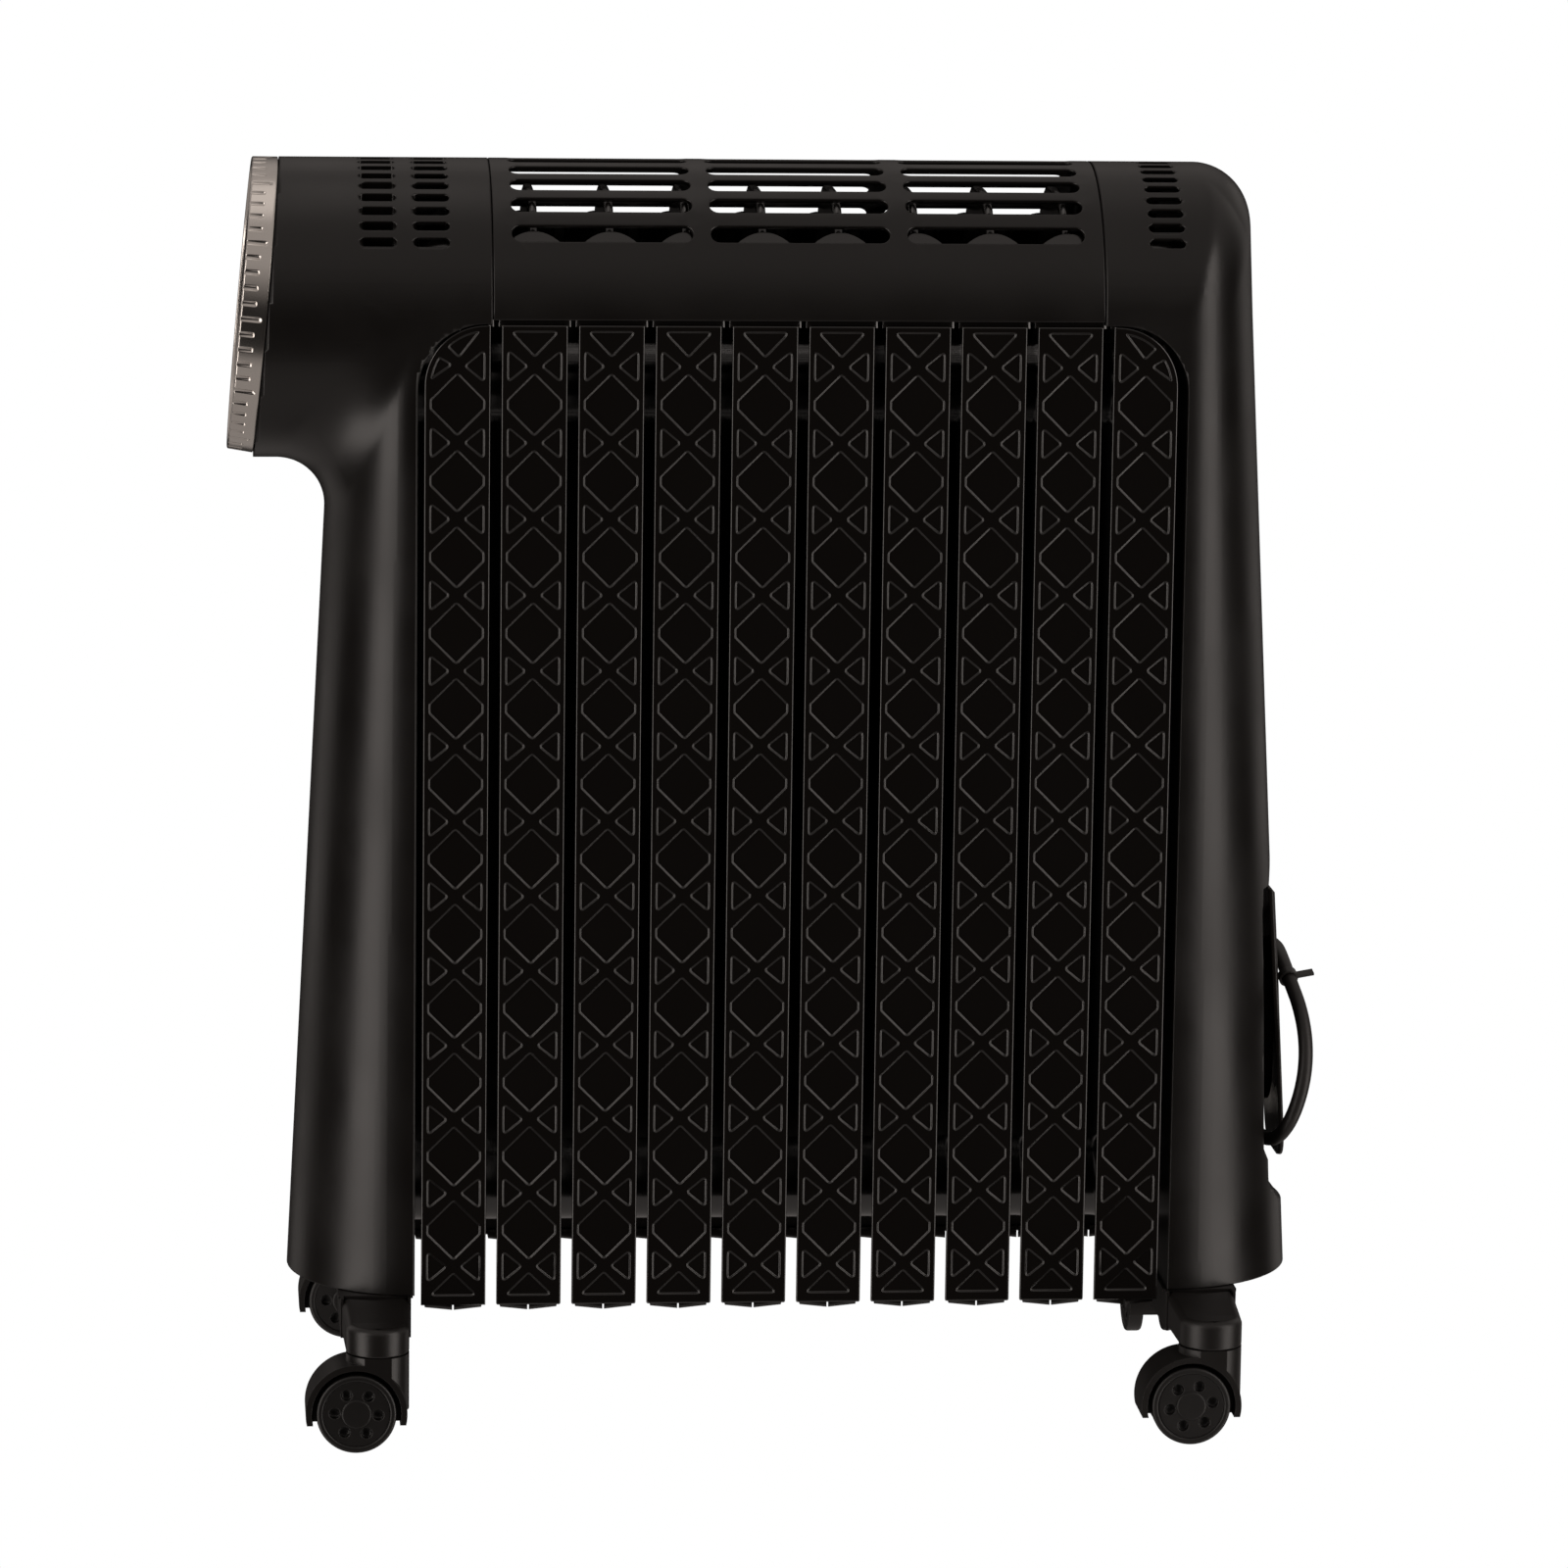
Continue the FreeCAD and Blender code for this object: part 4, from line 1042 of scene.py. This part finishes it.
def make_arm(corner):
    """The fixed arm: a round nose over the swivel, widening and rising to its root."""
    swivel_x, swivel_y = CASTERS[corner][:2]
    inwards = -1 if swivel_y > 0 else 1
    nose = [(ARM_NOSE_R * math.cos(math.radians(a)), ARM_NOSE_R * math.sin(math.radians(a)))
            for a in range(180, 361, 6)]
    outline = nose + [(16.4, 12), (16.8, 24), (17.2, 36), (17.2, 37.5), (17.2, 61.8),
                      (-17.2, 61.8), (-17.2, 37.5), (-17.2, 36), (-16.8, 24), (-16.4, 12)]

    def top(y):
        return ARM_UNDER_BRACKET_Z if y > ARM_UNDER_BRACKET_Y else ARM_HIGH + ARM_RISE * max(y, 0)

    def place(x, y, z):
        return (swivel_x + inwards * x, swivel_y + inwards * y, z)

    def row(distance, height):
        return [place(x, y, height(y0)) for (x, y), (_, y0) in zip(inset(outline, distance), outline)]

    rows = [[place(0, y, ARM_LOW) for _, y in outline], row(0.8, lambda y: ARM_LOW),
            row(0.2, lambda y: ARM_LOW + 0.3), row(0, lambda y: ARM_LOW + 1.0)]
    for step in range(7):
        angle = math.radians(15 * step)
        rows.append(row(ARM_EDGE_R * (1 - math.cos(angle)),
                        lambda y: top(y) - ARM_EDGE_R * (1 - math.sin(angle))))
    rows.append([place(0, y * 0.86, top(y)) for _, y in outline])
    arm = Builder()
    arm.strip(rows)
    obj = new_piece("arm_" + corner, arm.verts, arm.faces, "caster_plastic",
                    node="caster_arm_" + corner)
    merge(obj)
    weigh_normals(obj)


for corner in CASTERS:
    make_arm(corner)
    make_wheel(corner, "a", -1)
    make_wheel(corner, "b", 1)


# ------------------------------------------------------------------ cord winder, cord and plug
PLATE_LINE = [(260.4, 270.2), (264.9, 265.3), (268.3, 214.7), (272.7, 124.3)]
COIL_Z, COIL_STRAIGHT = 195.0, 23.0
CORD_R = 3.75


def plate_point(u, v, depth):
    """u across, v down the winder plate's bent line, depth off its outer face."""
    remaining = v
    for (x0, z0), (x1, z1) in zip(PLATE_LINE, PLATE_LINE[1:]):
        run = math.hypot(x1 - x0, z1 - z0)
        if remaining <= run or (x1, z1) == PLATE_LINE[-1]:
            share = remaining / run
            return (x0 + (x1 - x0) * share + depth, u, z0 + (z1 - z0) * share)
        remaining -= run


def make_winder():
    """The plate that the cord is wound behind."""
    length = sum(math.hypot(b[0] - a[0], b[1] - a[1]) for a, b in zip(PLATE_LINE, PLATE_LINE[1:]))
    edge = [(0.8, 0.0), (0.3, -0.15), (0.05, -0.5), (0.0, -1.2), (0.2, -2.3), (0.5, -2.5)]
    outline = rounded([(-26, 0, 4), (26, 0, 4), (26, length, 16), (-26, length, 16)], 4, 10)
    piece = plate(outline, [], edge, edge, plate_point, spacing=(6, 3), back=-2.5)
    core_outline = []
    for way in (1, -1):
        for i in range(25):
            angle = math.radians(180 * i / 24)
            core_outline.append((way * 20.0 * math.cos(angle),
                                 COIL_Z + way * (COIL_STRAIGHT + 20.0 * math.sin(angle))))
    core_solid = prism(core_outline, 238.0, 266.0, lambda u, v, depth: (depth, u, v))
    piece.add(core_solid.verts, core_solid.faces)
    obj = new_piece("winder_plate", piece.verts, piece.faces, "winder_plastic", node="cord_winder")
    merge(obj)
    weigh_normals(obj)


TAIL = [(257.5, 24, 142), (258, 10, 138), (260, -6, 135.5), (263, -21, 134.5), (267.5, -34, 138),
        (272.5, -41.5, 148), (277, -43.5, 162), (280, -41, 177), (280.5, -35, 192),
        (278.5, -26, 206), (275, -14, 217), (273.5, 1, 224.5), (273, 18, 228.5),
        (271.5, 35, 228), (268, 51, 223), (263, 65, 213), (259.5, 75, 199), (258, 79, 184)]
LEAD = [(244.5, -34.2, 111.5), (244.4, -34.2, 128), (244.0, -34.25, 143), (243.3, -34.25, 158)]


def coil_point(turns):
    """The wound cord's line: out, in, forward, out, forward, each change at its own place."""
    def change(start, end, first, last):
        share = min(max((turns - start) / (end - start), 0), 1)
        share = share * share * (3 - 2 * share)
        return first + (last - first) * share

    radius = change(0.72, 0.9, 34.25, 26.4) + change(2.36, 2.52, 0, 7.85)
    x = change(1.54, 1.7, 242.75, 250.5) + change(3.18, 3.34, 0, 7.75)
    straight, arc = COIL_STRAIGHT, math.pi * radius
    s = (turns % 1.0) * (4 * straight + 2 * arc)
    if s < straight:
        return (x, -radius, COIL_Z + s)
    s -= straight
    if s < arc:
        angle = s / radius
        return (x, -radius * math.cos(angle), COIL_Z + straight + radius * math.sin(angle))
    s -= arc
    if s < 2 * straight:
        return (x, radius, COIL_Z + straight - s)
    s -= 2 * straight
    if s < arc:
        angle = s / radius
        return (x, radius * math.cos(angle), COIL_Z - straight - radius * math.sin(angle))
    return (x, -radius, COIL_Z - straight + s - arc)


def make_cord():
    """The cord along its whole route; returns it with its length in millimetres."""
    points = list(LEAD)
    steps = 30
    last = 3.58
    for i in range(int(last * steps) + 1):
        points.append(coil_point(i / steps))
    points += TAIL
    curve = bpy.data.curves.new("mains_cord", "CURVE")
    curve.dimensions = "3D"
    curve.bevel_depth = CORD_R * MM
    curve.bevel_resolution = 6
    curve.use_fill_caps = True
    spline = curve.splines.new("NURBS")
    spline.points.add(len(points) - 1)
    for spot, point in zip(spline.points, points):
        spot.co = tuple(c * MM for c in point) + (1,)
    spline.order_u = 3
    spline.use_endpoint_u = True
    spline.resolution_u = 6
    cord = bpy.data.objects.new("mains_cord", curve)
    SCENE.collection.objects.link(cord)
    finish_piece(cord, "cord_rubber", node=("mains_cord_coil", "mains_cord_lead", "mains_cord_tail"))
    length = sum((Vector(a) - Vector(b)).length for a, b in zip(points, points[1:])) * 0.9985
    return cord, length


def upright(x, y):
    """Places turned pieces whose axis is vertical at (x, y)."""
    return lambda radius, along, angle: (x + radius * math.cos(angle), y + radius * math.sin(angle),
                                         along)


def make_relief():
    """The ribbed strain relief where the cord leaves the rear housing."""
    profile = [(0.01, 111.0), (6.4, 111.0), (6.4, 114.5)]
    for i in range(5):
        low = 115.5 + i * 3.6
        wide = 6.4 - 1.95 * (low - 111) / 23
        profile += [(wide - 1.2, low), (wide - 1.2, low + 0.9), (wide - 0.1, low + 1.3),
                    (wide - 0.3, low + 2.7)]
    profile += [(4.4, 133.8), (3.9, 134.0), (0.01, 134.0)]
    return turned("cord_relief", profile, "cord_rubber", "strain_relief", steps=48,
                  place=upright(244.5, -34.2))


def make_plug():
    """The plug body with its ribbed neck, and its two round pins."""
    profile = [(0.01, 146.0), (17.4, 146.0), (18.2, 146.4), (18.5, 147.3), (18.5, 166.4),
               (18.2, 167.4), (17.3, 168.0), (12.2, 168.4), (11.0, 169.2)]
    for i in range(4):
        low = 170.2 + i * 3.3
        wide = 11.0 - 5.8 * (low - 168) / 16
        profile += [(wide, low), (wide - 1.0, low + 0.4), (wide - 1.2, low + 1.4), (wide - 0.6, low + 2.0)]
    profile += [(5.3, 183.4), (4.9, 184.0), (0.01, 184.0)]
    body = turned("plug_body", profile, "cord_rubber", "mains_plug", steps=64,
                  place=upright(258.0, 79.0))
    pins = Builder()
    for y in (69.5, 88.5):
        pins.strip(lathe([(0.01, 127.0), (1.6, 127.0), (2.2, 127.5), (2.4, 128.4), (2.4, 146.5),
                          (0.01, 146.5)], 32, upright(258.0, y)))
    pin_piece = new_piece("plug_pins", pins.verts, pins.faces, "zinc_steel")
    merge(pin_piece)
    return body, pin_piece


make_winder()
cord, cord_length = make_cord()
relief = make_relief()
plug_pieces = make_plug()
